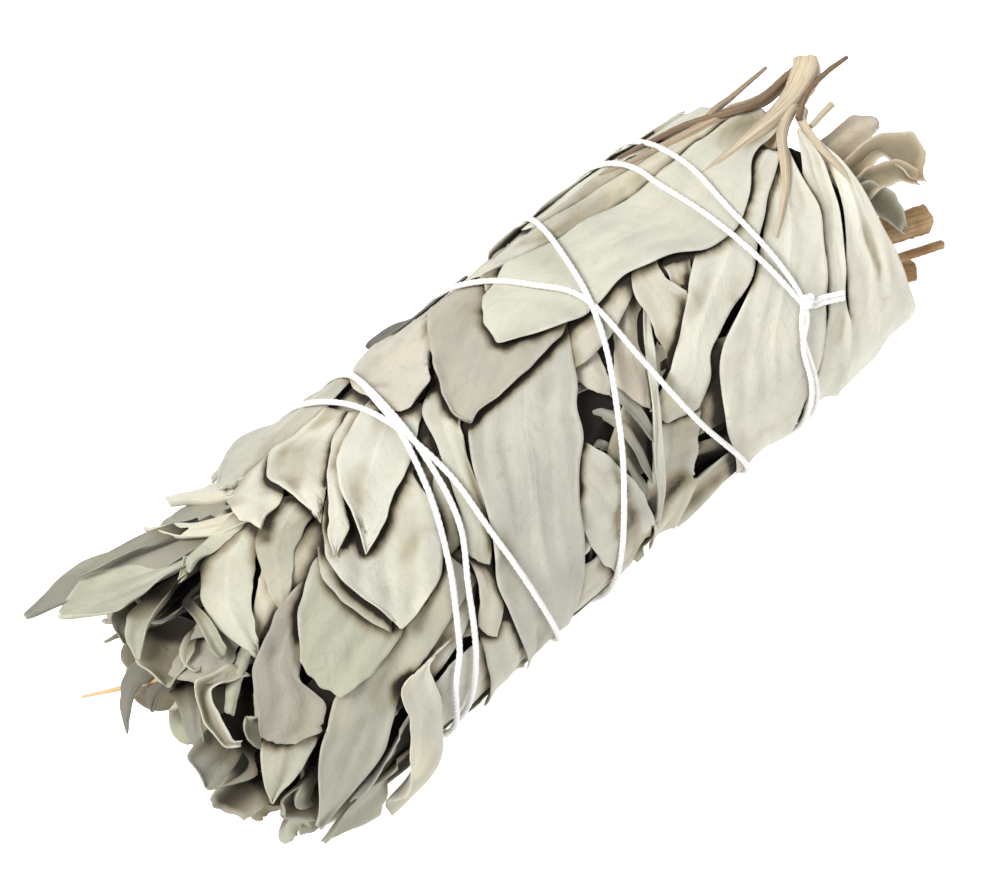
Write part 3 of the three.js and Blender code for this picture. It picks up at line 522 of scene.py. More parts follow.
SHOOT_LEAVES = [
    # a backing leaf under the shoot's leaves, painted near-black all over as the shade seen in the gaps
    # between them
    edged(
        [(49, -3), (45, 3), (42, 11), (38, 22), (34, 34), (32, 44)],
        [(50, 0), (50, 4), (49.5, 12), (49, 20), (49.5, 30), (50, 44)],
        radius=(15.8, 18.4), tint="dark", dark=2,
    ),
    edged(
        [(46, -16), (38, -20), (28, -24), (18, -25)], [(47, -13), (38, -16), (28, -17.5), (18, -18)],
        curl=(0.1, 0.9), gap=1.0, tint="pale",
    ),
    edged(
        [(52, -1), (50.7, 3), (49.3, 6.8), (47.3, 11.3), (43.9, 16), (41.4, 21), (37.5, 29.3),
         (36.5, 37), (38, 43)],
        [(52, -3), (51.5, 3), (51.5, 10), (51, 18), (51.5, 27), (53.5, 36), (53, 42)],
        creases=((0.45, 0.3),), curl=(0.2, 0.3), gap=1.0, lift=1.2, tint="bright",
    ),
    edged(
        [(50.4, -1.5), (45.9, 4.2), (44.4, 9), (41, 13.6), (38.5, 18.6), (34.5, 25.6), (31.2, 33.4),
         (31, 41)],
        [(51, -2), (50.2, 2), (48.8, 6), (46.8, 10.5), (43.3, 15), (40.8, 20), (38.2, 28.5),
         (37.6, 37), (39, 43)],
        curl=(0.1, 1.2), gap=1.0, tint="bright",
    ),
    edged(
        [(49, -3), (44.8, -1.2), (40.4, 3.1), (34.4, 7.9), (31.4, 10.3), (27.3, 11.6), (22, 13.8),
         (20, 16), (18.7, 20), (17.5, 26), (18, 32), (19, 40)],
        [(50, -3), (48, -1), (45.7, 3.5), (44.2, 8.5), (40.8, 13), (38.2, 18), (34.2, 25), (30.5, 33),
         (29, 41)],
        creases=((0.2, 0.25), (-0.4, 0.3)), curl=(0.1, 1.2), gap=1.0, tint="bright",
    ),
    edged(
        [(44, -22), (34, -26), (24, -30), (14, -31)], [(45, -18), (34, -21), (24, -23), (12, -24)],
        curl=(0.1, 0.9), gap=1.0, tint="grey",
    ),
    edged(
        [(46, -12), (38, -15), (30, -17), (22, -18), (16, -19)],
        [(47, -9.5), (38, -11), (30, -13), (22, -14.5), (15, -17)],
        curl=(0.1, 1.0), gap=1.0, tint="pink",
    ),
    edged(
        [(15, -19), (11, -18), (7, -17), (5.5, -14)], [(14, -13), (11.5, -10.5), (8.5, -9.5), (5.5, -12)],
        cup=0.8, gap=1.0, tint="yellow",
    ),
    edged(
        [(46, -11), (38, -12.5), (30, -14), (22, -16), (14, -18), (6, -19.5)],
        [(47, -8), (38, -8), (30, -7.6), (24, -7.3), (20, -8), (15, -11.5), (7, -16.5)],
        curl=(0.1, 1.1), gap=1.0, tint="cream",
    ),
    edged(
        [(44, -3), (36, -1), (30, 1), (26, 3.5), (22.5, 6), (18.5, 9.5), (15, 12.5), (9.5, 15.5)],
        [(46, 0), (40, 3), (34, 7.5), (31, 10), (27, 11), (21.5, 12.8), (19.5, 13.8), (18.7, 17),
         (15, 20.5), (11, 19)],
        lift=0.3, gap=1.0, tint="pale",
    ),
    edged(
        [(50, -8), (47, -9), (43.5, -9), (37, -9.5), (28, -9.5), (20, -11.5), (14, -13.5), (8, -14.5),
         (3, -12)],
        [(50, -3.5), (44, -2.5), (41.5, -1.5), (38, 2), (34, 4), (28, 3.5), (24.5, 1), (20, 0),
         (17, -1), (10, 0), (4, -1.5), (-1, -4)],
        creases=((0.0, -0.3), (0.5, 0.25)), lift=0.5, tint="pale",
    ),
]

TINTS = {  # pink, green, brightness, yellow
    "pale": (0.1, 0.15, 1.0, 0.1),
    "grey": (0.2, 0.3, 0.9, 0.15),
    "green": (0.0, 0.75, 0.83, 0.25),
    "pink": (0.8, 0.0, 0.93, 0.2),
    "cream": (0.25, 0.1, 1.0, 0.8),
    "dark": (0.3, 0.6, 0.5, 0.3),
    "shade": (0.2, 0.7, 0.74, 0.35),
    "horn": (0.6, 0.3, 0.52, 0.2),
    "brown": (0.8, 0.1, 0.62, 0.3),
    "olive": (0.2, 0.6, 0.74, 0.6),
    "mint": (0.0, 0.6, 0.86, 0.1),
    "cool": (0.0, 0.0, 0.8, 0.0),
    "yellow": (0.1, 0.3, 0.95, 1.0),
    "rust": (1.3, 0.0, 0.95, 1.1),
    "tan": (0.8, 0.0, 0.8, 0.4),
    "bright": (0.3, 0.0, 1.16, 0.1),
    "stub": (1.3, 0.0, 1.02, 1.2),
    # gloom darkens the crescent at the top edge as painted shade, and two tips at the end
    "gloom": (0.5, 0.4, 0.26, 0.4),
    "steel": (0.0, 0.2, 0.6, 0.0),
}

STALKS = [
    stalk(
        (58.7, -7.5, 1.8), (57, -6.4, 1.8), (52.5, -5, 1.35), (47, -4.8, 0.9), (41, -5, 0.5),
        (35, -5.5, 0.15),
    ),
    stalk((53, -4.5, 0.8), (50.5, -3.5, 0.75), (47.5, -1.5, 0.65), (43, 3.5, 0.5), (37, 8, 0.25)),
    stalk((53, -3, 0.7), (51.5, -1.5, 0.65), (50.5, 3.5, 0.5), (50.5, 8, 0.4), (49, 14, 0.2)),
    stalk((57, -9.5, 0.8), (50, -9, 0.8), (44, -10.5, 0.7), (37, -13, 0.55), (29, -17, 0.3), dark=0.5),
    stalk((51, -2, 0.4), (55, -4, 0.3), (59, -4.6, 0.33), (63, -4.4, 0.25), lift=1.2, dark=1),
    stalk((44, -11, 0.5), (51, -13.2, 0.35), (56.5, -13.7, 0.25), lift=0.8, dark=0.5),
    stalk((52, -0.5, 0.4), (56.5, -1, 0.45), lift=0.4),
    # a dark stalk whose colour is painted as the shadow line beside the main stalk
    stalk(
        (57.5, -8.6, 0.45), (52, -8, 0.5), (47.5, -8.4, 0.5), (44, -10.6, 0.45), (40, -14, 0.4),
        (33, -18, 0.2), lift=0.7, dark=1,
    ),
]

WOOD_ENDS = [  # s, w, r, radius
    (52, 2, 10, 1.2),
    (62, 29, 14, 1.8),
    (65, 40, 16.5, 0.6),
    (60.2, 43, 16.7, 1.5),
    (53, 68, 11.5, 1.3),
    (50, 84, 11, 1.1),
    (52, 101, 11, 1.3),
    (55, 117, 11, 1.2),
]

STRAW_PLACES = (  # s, w, r, radius
    (-48, 3, 14, 0.4), (-56, 0.5, 17.5, 0.36), (-62.5, -3.5, 18, 0.3), (-67, -7, 18, 0.16),
)

THREAD_ROUTE = (  # s, w
    (34.5, 16.5), (32.5, 19.5), (32, 24), (33, 40), (36.5, 75), (37, 107), (36, 124), (34.5, 134),
    (34.5, 148.5), (31.5, 154), (31, 165), (27, 200), (20, 239), (14.5, 257), (10.5, 266.5), (4, 277.5),
    (-2, 289.5), (-5, 303), (-8, 335), (-13, 371), (-16, 388), (-17.5, 396), (-20, 405), (-24.5, 413),
    (-30, 427.5), (-33, 437), (-27, 470), (-15, 503), (-16.5, 520), (-20, 531), (-24, 539.5),
    (-28.5, 548.5), (-32.5, 561), (-30, 600), (-22, 635), (-18, 650), (-17, 663), (-17.5, 674.5),
    (-15.5, 692), (-8, 725), (3, 767), (8.5, 782), (12, 789.5), (12, 800.5), (14, 812), (21, 831),
    (26, 860), (30, 896), (31.5, 910), (31, 917), (31.8, 925), (33.2, 934.5), (34.5, 940.5), (37, 942),
    (40, 943.5),
)


def spline(points, step):
    """Evenly spaced places on a smooth curve through the points, about step apart."""
    p = np.asarray(points, float)
    p = np.vstack([2 * p[0] - p[1], p, 2 * p[-1] - p[-2]])
    chunks = []
    for i in range(1, len(p) - 2):
        a, b, c, d = p[i - 1 : i + 3]
        t = np.linspace(0, 1, 40, endpoint=False)[:, None]
        bend, twist = 2 * a - 5 * b + 4 * c - d, 3 * b - a - 3 * c + d
        chunks.append(0.5 * (2 * b + (c - a) * t + bend * t**2 + twist * t**3))
    line = np.vstack([*chunks, p[-2][None]])
    return even(line, max(2, int(round(run_along(line)[-1] / step)) + 1))


def run_along(line):
    """The length of the line up to each of its places."""
    return np.concatenate([[0], np.cumsum(np.linalg.norm(np.diff(line, axis=0), axis=1))])


def even(line, count):
    """count evenly spaced places on a line."""
    run = run_along(line)
    at = np.linspace(0, run[-1], count)
    return np.stack([np.interp(at, run, line[:, k]) for k in range(line.shape[1])], -1)


# ---- The pile of leaves ----


class Pile:
    """How far out the pile of leaves reaches at each place of the sheet."""

    CELL = 0.35  # mm along the bunch
    START = -74.0  # s of the first column
    COLUMNS = 430
    ROWS = 377

    def __init__(self, support=None):
        self.row = CIRCUMFERENCE / self.ROWS
        self.support = self.packed() if support is None else support
        self.tops = self.support.copy()

    def packed(self):
        """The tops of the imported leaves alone, with one hollow and one bulge."""
        s = self.START + self.CELL * np.arange(self.COLUMNS)[:, None]
        w = self.row * np.arange(self.ROWS)[None, :]
        core = CORE_RADIUS + 1.2 * ease((-s - 34) / 22) - 1.8 * ease((s - 38) / 18)
        hollow = 4.0 * np.exp(-(((s - 9) / 9) ** 2) ** 2 - (((w - 24) / 17) ** 2) ** 2)
        bulge = 0.9 * np.exp(-(((w - 108) / 11) ** 2) - ((s / 45) ** 2) ** 2)
        return core - hollow + bulge

    def squeezed(self):
        """The support that brings the tops of the leaves back to the bunch's own radius."""
        excess = self.tops - self.packed() - (LEAF_TOPS - CORE_RADIUS)
        for _ in range(2):
            for axis in (0, 1):
                near = [np.roll(excess, k, axis) for k in range(-8, 9)]
                excess = sum(near) / len(near)
        return np.clip(self.support - excess, CORE_LEAST, CORE_MOST)

    def cells(self, s, w):
        """The column and the row of a place."""
        column = np.clip(np.rint((s - self.START) / self.CELL).astype(int), 1, self.COLUMNS - 2)
        return column, np.rint(w / self.row).astype(int)

    def top(self, s, w, reach=1):
        """The highest that the pile gets within reach cells of a place."""
        column, row = self.cells(np.asarray(s, float), np.asarray(w, float))
        around = range(-reach, reach + 1)
        columns = [np.clip(column + a, 0, self.COLUMNS - 1) for a in around]
        return np.max([self.tops[c, (row + b) % self.ROWS] for c in columns for b in around], axis=0)

    def crevice(self, s, w, r):
        """How close a place lies under or beside higher leaves, from 0 to 1: the strength of the painted
        shade in crevices.
        """
        column, row = self.cells(s, w)
        closest = np.zeros_like(r)
        for a in range(-4, 5):
            for b in range(-4, 5):
                away = math.hypot(a, b) * self.CELL
                near = max(min(1, 1.6 - 1.35 * away), 0.34 - 0.21 * away)
                if near > 0:
                    tops = self.tops[np.clip(column + a, 0, self.COLUMNS - 1), (row + b) % self.ROWS]
                    closest = np.maximum(closest, np.clip((tops - r) / 0.5, 0, 1) * near)
        return closest

    def lift_to(self, s, w, r):
        """Raises the pile to at least r."""
        column, row = self.cells(s, w)
        np.maximum.at(self.tops, (column, row % self.ROWS), r)


def outline(u, blunt):
    """Half-width of a leaf as a share of its widest, from its stalk to its tip."""
    places = (0, 0.1, 0.25, 0.45, 0.65, 0.8, 0.92, 1)
    pointed = (0.36, 0.58, 0.87, 1, 0.85, 0.57, 0.27, 0.03)
    cut = (0.36, 0.58, 0.87, 1, 1, 0.96, 0.9, 0.74)
    share = np.interp(u, places, lerp(np.array(pointed), np.array(cut), blunt))
    kernel = np.array([1, 2, 3, 2, 1]) / 9
    return np.convolve(np.pad(share.ravel(), 2, mode="edge"), kernel, "valid").reshape(u.shape)


def rounded(points):
    """A line through the points with its corners a little rounded."""
    line = even(np.asarray(points, float), 160)
    for _ in range(24):
        line[1:-1] = (line[:-2] + 2 * line[1:-1] + line[2:]) / 4
    return line


def waver(rng, t, waves, size):
    """A smooth random line over t from 0 to 1."""
    total = np.zeros_like(t)
    for k in range(1, waves + 1):
        total += rng.normal() * np.sin(2 * np.pi * (k * t + rng.random())) / k**0.7
    return size * total


def floor_at(s, w, spare):
    """How far out a place may lie and stay spare mm over the floor."""
    down = -np.cos(w / BUNCH_RADIUS)
    return np.where(down > 0.1, (axis_height(s) - spare) / np.maximum(down, 0.1), FAR_OFF)


def held(s, w):
    """1 where the thread presses the leaves down, 0 away from it."""
    line = thread_line()
    gap_w = (w[..., None] - line[:, 1] + CIRCUMFERENCE / 2) % CIRCUMFERENCE - CIRCUMFERENCE / 2
    near = np.min((s[..., None] - line[:, 0]) ** 2 + gap_w**2, axis=-1)
    return np.exp(-near / 3.0**2)


@functools.cache
def thread_line():
    return spline(THREAD_ROUTE, 1.5)


class Leaf:
    """A leaf laid on the pile: a fine grid of places from its stalk to its tip."""

    def __init__(self, plan, index, sizes):
        self.plan = plan
        self.thick = sizes.leaf_thickness / MM
        rng = np.random.default_rng(1000 + index)
        radius = plan.get("radius")
        self.deep = radius is not None
        self.fold, self.cup = plan.get("fold", 0), plan.get("cup", 0)
        middle = (radius[0] + radius[1]) / 2 if radius else 19.5
        if "left" in plan:
            self.draw_between_edges(plan, rng)
        else:
            self.draw_round_midrib(plan, rng, BUNCH_RADIUS / middle)
        t, v, half = self.t, self.v, self.half
        phase = rng.random(4) * 2 * math.pi
        pleat = np.sin(1.9 * v * half + 2.5 * t + phase[0]) * np.sin(4 * t + phase[1])
        sway = np.sin(2 * np.pi * t * self.length / 17 + 1.3 * v + phase[2])
        self.waves = 0.16 * pleat + 0.2 * sway
        creases = plan.get("creases") or [(rng.uniform(-0.7, 0.7), rng.normal(0, 0.3)) for _ in range(2)]
        for place, height in creases:
            wander = place + 0.12 * np.sin(5 * t + phase[3])
            ridge = height * np.exp(-np.abs(v - wander) * half / 0.9)
            self.waves = self.waves + ridge * np.sin(np.pi * np.clip(t * 1.1, 0, 1))
        outer = 0.75 if "right" in plan else 0.4
        self.curl = plan.get("curl") or (rng.normal(0.3, 0.3), rng.normal(outer, 0.3))
        self.back = float(rng.random() < 0.5)
        self.tint = TINTS[plan.get("tint") or rng.choice(["pale", "grey", "pink", "green", "pale"])]
        self.shade = rng.normal(0, 0.035)
        # how dark its painted shade under or beside other leaves gets, unless its plan says
        self.gap = rng.uniform(0.7, 1.1)
        self.tone = rng.normal(0, 0.12, 2)

    def draw_round_midrib(self, plan, rng, fan):
        """Lays the grid out to both sides of a bent midrib."""
        width, blunt = plan["width"], plan.get("blunt", 0)
        start, by, to = (np.array(plan[key], float) for key in ("from", "by", "to"))
        self.length = math.hypot(*(by - start)) + math.hypot(*(to - by))
        t, v = self.grid(self.length, width)
        # the end is rounded and uneven, more so where it is blunt
        uneven = waver(rng, (v + 1) / 2, 3, 0.006 + 0.012 * blunt)
        u = t * (1 - (0.03 + 0.1 * blunt) * v**2 + np.where(t > 0, uneven, 0) * t**2)
        bend = 2 * by - (start + to) / 2
        at = [(1 - u) ** 2 * start[k] + 2 * u * (1 - u) * bend[k] + u * u * to[k] for k in (0, 1)]
        ds = (1 - u) * (bend[0] - start[0]) + u * (to[0] - bend[0])
        dw = ((1 - u) * (bend[1] - start[1]) + u * (to[1] - bend[1])) / fan
        edge, other = (1 + waver(rng, t, 6, 0.018) for _ in range(2))
        half = width / 2 * outline(t, blunt) * np.where(v < 0, edge, other)
        narrowed = half * np.cos(self.turn) / math.sqrt(1 + self.fold**2 + 0.5 * self.cup**2)
        side = narrowed / np.hypot(ds, dw)
        self.s = at[0] - v * side * dw
        self.w = at[1] + v * side * ds * fan
        self.half = half

    def draw_between_edges(self, plan, rng):
        """Lays the grid out between the two side edges."""
        edges = [rounded(plan[key]) for key in ("left", "right")]
        self.length = float(np.mean([np.sum(np.hypot(*np.diff(edge, axis=0).T)) for edge in edges]))
        gaps = np.hypot(*(even(edges[0], 12) - even(edges[1], 12)).T)
        t, v = self.grid(self.length, gaps.max())
        left, right = (even(edge, len(t)) for edge in edges)
        across = right - left
        uneven = waver(rng, t, 8, 0.1), waver(rng, t, 8, 0.1)
        share = (v + 1) / 2
        along = np.gradient((left + right) / 2, axis=0)
        along /= np.maximum(np.hypot(*along.T), 1e-6)[:, None]
        wide = np.hypot(*across.T)[:, None]
        narrow = np.minimum(1, wide / 3)
        push = (uneven[0] * (1 - share) + uneven[1] * share) * narrow
        end = waver(rng, share, 4, 0.12) * t**3 * narrow - 0.12 * wide * v**2 * ease((t - 0.7) / 0.3)
        place = [left[:, k, None] + across[:, k, None] * share + end * along[:, k, None] for k in (0, 1)]
        self.s = place[0] + push * along[:, 1, None]
        self.w = place[1] - push * along[:, 0, None]
        self.half = wide / 2 + 0 * v

    def grid(self, length, width):
        """t from the stalk to the tip and v from one side edge to the other."""
        fine = 0.5 if "left" in self.plan else 0.75
        rows = int(np.clip(length / fine, 14, 90))
        across = int(np.clip(width / fine, 6, 30)) // 2 * 2
        self.t = np.linspace(0, 1, rows + 1)[:, None]
        self.v = np.linspace(-1, 1, across + 1)[None, :]
        self.turn = math.radians(self.plan.get("twist", 0)) * ease((self.t - 0.15) / 0.5)
        self.pressed, self.room = 0, FAR_OFF
        return self.t, self.v

    def press(self, pile):
        """Notes where later leaves hold this one down."""
        if not self.deep:
            top = pile.top(self.s, self.w)
            self.pressed = ease((top - self.r - self.thick / 2) / 0.5)
            self.room = np.where(top > self.laid + 0.45, top - self.laid - 0.3, FAR_OFF)

    def lay(self, pile):
        """Bends the leaf over what already lies on the pile."""
        t, v, half = self.t, self.v, self.half
        if self.deep:
            inner, outer = self.plan["radius"]
            self.r = lerp(inner, outer, t**1.5) + DEEP_RISE + 0 * v
            free = np.ones_like(self.r)
        else:
            least = pile.top(self.s, self.w) + 0.06 + self.thick / 2
            r = least.copy()
            for _ in range(60):
                r = np.maximum(least, beside(r) / 4)
            self.r = self.laid = r
            free = (1 - held(self.s, self.w)) * (1 - self.pressed)
            self.settle_pile(pile)
        shape = self.fold * np.abs(v) * half + self.cup * v**2 * half + np.sin(self.turn) * v * half
        curl = np.where(v < 0, self.curl[0], self.curl[1]) * np.abs(v) ** 5 * (0.4 + 0.6 * t)
        lift = self.plan.get("lift", 0) * ease((t - 0.4) / 0.6) ** 1.4
        rise = shape * ease(t / 0.35) + lift + (curl + self.waves) * ease(t / 0.2)
        rise = np.where((rise < 0) & (not self.deep), 0.15, 1) * rise * free
        self.r = self.r + np.minimum(rise, self.room)
        spare = 0.2 if self.deep else 0.2 + 0.8 * held(self.s, self.w)
        self.r = np.minimum(self.r, floor_at(self.s, self.w, spare))

    def settle_pile(self, pile):
        """Raises the pile to the top of this leaf."""
        grids = [self.s, self.w, self.r]
        for axis in (0, 1):
            grids = [halved(g, axis) for g in grids]
        pile.lift_to(grids[0], grids[1], grids[2] + self.thick / 2)

    def stem(self):
        """The number of the stem that the leaf grows from."""
        return int(round(self.plan["from"][1] / SECTOR)) % STEM_COUNT

    def sheet(self, pile):
        """The closed mesh, with painted shade where it goes in under or beside other leaves."""
        # painted shade in the crevices under and beside higher leaves, softened over the grid
        dark = pile.crevice(self.s, self.w, self.r + self.thick / 2) * self.plan.get("gap", self.gap)
        self.painted_shade = (beside(dark) + 2 * dark) / 6
        if self.deep:
            # a leaf standing in the bunch takes painted shade from its stalk instead, and in its cup
            # within a paler rim
            base = 0.85 * ease((self.plan.get("dark", 0.8) - self.t) / 0.5)
            hollow = self.plan.get("hollow", 0) * (1 - self.v**4) * ease((1 - self.t) / 0.12)
            self.painted_shade = np.maximum(base, hollow)
        return Sheet(self)


def beside(grid):
    """The sum of the four places next to each place of the grid."""
    p = np.pad(grid, 1, mode="edge")
    return p[:-2, 1:-1] + p[2:, 1:-1] + p[1:-1, :-2] + p[1:-1, 2:]


def halved(grid, axis):
    """The grid with one more row between each two."""
    first = np.take(grid, range(grid.shape[axis] - 1), axis)
    second = np.take(grid, range(1, grid.shape[axis]), axis)
    both = np.stack([first, (first + second) / 2], axis + 1)
    shape = list(grid.shape)
    shape[axis] = 2 * (shape[axis] - 1)
    return np.concatenate([both.reshape(shape), np.take(grid, [-1], axis)], axis)


class Sheet:
    """The closed mesh of one thin leaf, with its vein map and its tints."""

    def __init__(self, item):
        places = to_space(item.s, item.w, item.r)
        along, across = np.gradient(places, axis=0), np.gradient(places, axis=1)
        normal = np.cross(along, across)
        normal /= np.maximum(np.linalg.norm(normal, axis=-1, keepdims=True), 1e-9)
        axis = places.copy()
        axis[..., 1] = -CENTRE_Y
        axis[..., 2] = axis_height(item.s)
        turned = np.sum(normal * (places - axis)) < 0
        if turned:
            normal = -normal
        n, m = item.s.shape
        # thinner towards the edges, thicker along the midrib
        edge = np.minimum(1, 0.45 + 4 * (1 - np.abs(item.v))) * np.minimum(1, 0.45 + 12 * (1 - item.t))
        rib = np.exp(-((item.v * item.half / 0.45) ** 2)) * (1 - item.t)
        half = (item.thick / 2 * edge + 0 * item.s)[..., None] * normal
        ridge = (0.22 * rib)[..., None] * normal
        upper = places + half + (ridge if item.back else -0.4 * ridge)
        lower = places - half + (0 if item.back else -ridge)
        self.verts = np.concatenate([upper.reshape(-1, 3), lower.reshape(-1, 3)])
        index = np.arange(n * m).reshape(n, m)
        a, b = index[:-1, :-1].ravel(), index[1:, :-1].ravel()
        c, d = index[1:, 1:].ravel(), index[:-1, 1:].ravel()
        top = np.stack([a, b, c, d], 1)
        bottom = np.stack([d, c, b, a], 1) + n * m
        rim = np.concatenate([index[:, 0], index[-1, 1:], index[-2::-1, -1], index[0, -2:0:-1]])
        ahead = np.roll(rim, -1)
        wall = np.stack([rim, rim + n * m, ahead + n * m, ahead], 1)
        faces = np.concatenate([top, bottom, wall])
        self.faces = faces[:, ::-1] if turned else faces
        grow = item.length / 10 * item.t + 0 * item.v
        spread = item.v * item.half / 10
        uv = np.stack([grow, spread], -1).reshape(-1, 2)
        self.uv = np.concatenate([uv, uv])
        pink, green, bright, yellow = item.tint
        tint = np.array([pink + item.tone[0], green + item.tone[1], bright + item.shade, yellow])
        self.tint = np.tile(np.clip(tint, 0, 1.2), (2 * n * m, 1))
        flat = 0 * item.s
        # the third channel is the painted shade, the fourth which side faces out
        place = np.stack([item.t + flat, np.abs(item.v) + flat, painted_shade_of(item), item.back + flat], -1)
        self.place = np.tile(place.reshape(-1, 4), (2, 1))


def painted_shade_of(item):
    """How much painted shade darkens a place: 0 on the outside of the bunch, 1 deep in it or close under
    other leaves.
    """
    share = item.plan.get("inside", 0.5 if item.deep else 1)
    inside = np.clip((19.2 - item.r) / 4.0, 0, 1) * share
    return np.clip(np.maximum(inside, item.painted_shade), 0, 1)


def facing_out(faces, verts, number, centre):
    """The faces, all turned round if the one of that number faces its centre."""
    a, b, c = verts[faces[number, :3]]
    return faces[:, ::-1] if np.dot(np.cross(b - a, c - b), a - centre) < 0 else faces


def colour_layer(mesh, key, values):
    attribute = mesh.attributes.new(key, "FLOAT_COLOR", "POINT")
    attribute.data.foreach_set("color", values.ravel())


def mesh_piece(name, sheets, finish_name):
    """One object from many closed sheets."""
    mesh = bpy.data.meshes.new(name)
    offsets = np.cumsum([0] + [len(sheet.verts) for sheet in sheets])
    verts = np.concatenate([sheet.verts for sheet in sheets]) * MM
    faces = np.concatenate([sheet.faces + offset for sheet, offset in zip(sheets, offsets)])
    mesh.vertices.add(len(verts))
    mesh.vertices.foreach_set("co", verts.ravel())
    mesh.loops.add(faces.size)
    mesh.loops.foreach_set("vertex_index", faces.ravel().astype(np.int32))
    mesh.polygons.add(len(faces))
    mesh.polygons.foreach_set("loop_start", np.arange(0, faces.size, 4, dtype=np.int32))
    mesh.polygons.foreach_set("use_smooth", np.ones(len(faces), bool))
    uv = np.concatenate([sheet.uv for sheet in sheets])
    layer = mesh.uv_layers.new(name="UVMap")
    layer.data.foreach_set("uv", uv[faces.ravel()].ravel())
    for key in ("tint", "place"):
        colour_layer(mesh, key, np.concatenate([getattr(sheet, key) for sheet in sheets]))
    mesh.update(calc_edges=True)
    mesh.validate()
    mesh.materials.append(finishes()[finish_name])
    return linked(name, mesh)


def linked(name, data):
    """An object of that data, in the scene."""
    piece = bpy.data.objects.new(name, data)
    bpy.context.scene.collection.objects.link(piece)
    return piece


# ---- Node trees ----


def math_node(operation, swapped=False):
    """A method of Field that adds one Math node."""

    def apply(self, *others):
        values = (*others, self) if swapped else (self, *others)
        return self.nodes.add("ShaderNodeMath", {"operation": operation}, dict(enumerate(values)))

    return apply


class Field:
    """A value in a node tree: sums on it add Math nodes."""

    __add__ = math_node("ADD")
    __radd__ = math_node("ADD", swapped=True)
    __sub__ = math_node("SUBTRACT")
    __rsub__ = math_node("SUBTRACT", swapped=True)
    __mul__ = math_node("MULTIPLY")
    __rmul__ = math_node("MULTIPLY", swapped=True)
    __truediv__ = math_node("DIVIDE")
    __rtruediv__ = math_node("DIVIDE", swapped=True)
    __pow__ = math_node("POWER")
    __abs__ = math_node("ABSOLUTE")
    sin = math_node("SINE")
    cos = math_node("COSINE")
    exp = math_node("EXPONENT")
    fraction = math_node("FRACT")

    def __init__(self, nodes, socket):
        self.nodes, self.socket = nodes, socket

    def step(self, low, high):
        """0 below low, 1 above high, smooth between."""
        settings = {"interpolation_type": "SMOOTHSTEP", "clamp": True}
        inputs = {"Value": self, "From Min": low, "From Max": high}
        return self.nodes.add("ShaderNodeMapRange", settings, inputs)


class Nodes:
    """Builds one node tree."""

    def __init__(self, tree):
        self.tree = tree

    def add(self, kind, settings=None, inputs=None, output=0):
        """Adds a node: its settings, its inputs as values or links, then the output asked for."""
        node = self.tree.nodes.new(kind)
        for key, value in (settings or {}).items():
            setattr(node, key, value)
        for key, value in (inputs or {}).items():
            socket = node.inputs[key]
            if isinstance(value, Field):
                self.tree.links.new(value.socket, socket)
            else:
                socket.default_value = value
        if output is None:
            return node
        return Field(self, node.outputs[output])

    def mix(self, factor, a, b, blend="MIX"):
        """Mixes two colours."""
        a, b = (end if isinstance(end, Field) else (*end, 1) for end in (a, b))
        settings = {"data_type": "RGBA", "blend_type": blend}
        return self.add("ShaderNodeMix", settings, {0: factor, 6: a, 7: b}, 2)

    def parts(self, whole, kind="Color"):
        """The three parts of a colour or, with kind XYZ, of a vector."""
        node = self.add("ShaderNodeSeparate" + kind, None, {0: whole}, None)
        return [Field(self, node.outputs[k]) for k in range(3)]

    def vector_math(self, operation, inputs):
        return self.add("ShaderNodeVectorMath", {"operation": operation}, inputs)

    def attribute(self, name, output="Color"):
        return self.add("ShaderNodeAttribute", {"attribute_name": name}, output=output)

    def noise(self, place, scale, detail=2.0, rough=0.5, **more):
        inputs = {"Vector": place, "Scale": scale, "Detail": detail, "Roughness": rough, **more}
        return self.add("ShaderNodeTexNoise", None, inputs)

    def place(self):
        return self.add("ShaderNodeTexCoord", output="Object")


def finish(name, build, sheen=0.0, specular=0.3, glow=0.0):
    """A material whose colour, roughness and bump come from build(nodes)."""
    material = bpy.data.materials.new(name)
    material.use_nodes = True
    material.node_tree.nodes.clear()
    nodes = Nodes(material.node_tree)
    colour, rough, height, depth = build(nodes)
    bump = nodes.add("ShaderNodeBump", None, {"Strength": 1.0, "Distance": depth * MM, "Height": height})
    inputs = {"Base Color": colour, "Roughness": rough, "Normal": bump}
    inputs.update({"Specular IOR Level": specular, "Sheen Weight": sheen, "Sheen Roughness": 0.6})
    if glow:
        inputs.update({"Emission Color": (1, 1, 1, 1), "Emission Strength": glow})
    surface = nodes.add("ShaderNodeBsdfPrincipled", None, inputs)
    output = nodes.add("ShaderNodeOutputMaterial", None, {"Surface": surface}, None)
    output.is_active_output = True
    material.diffuse_color = (0.6, 0.6, 0.55, 1)
    return material


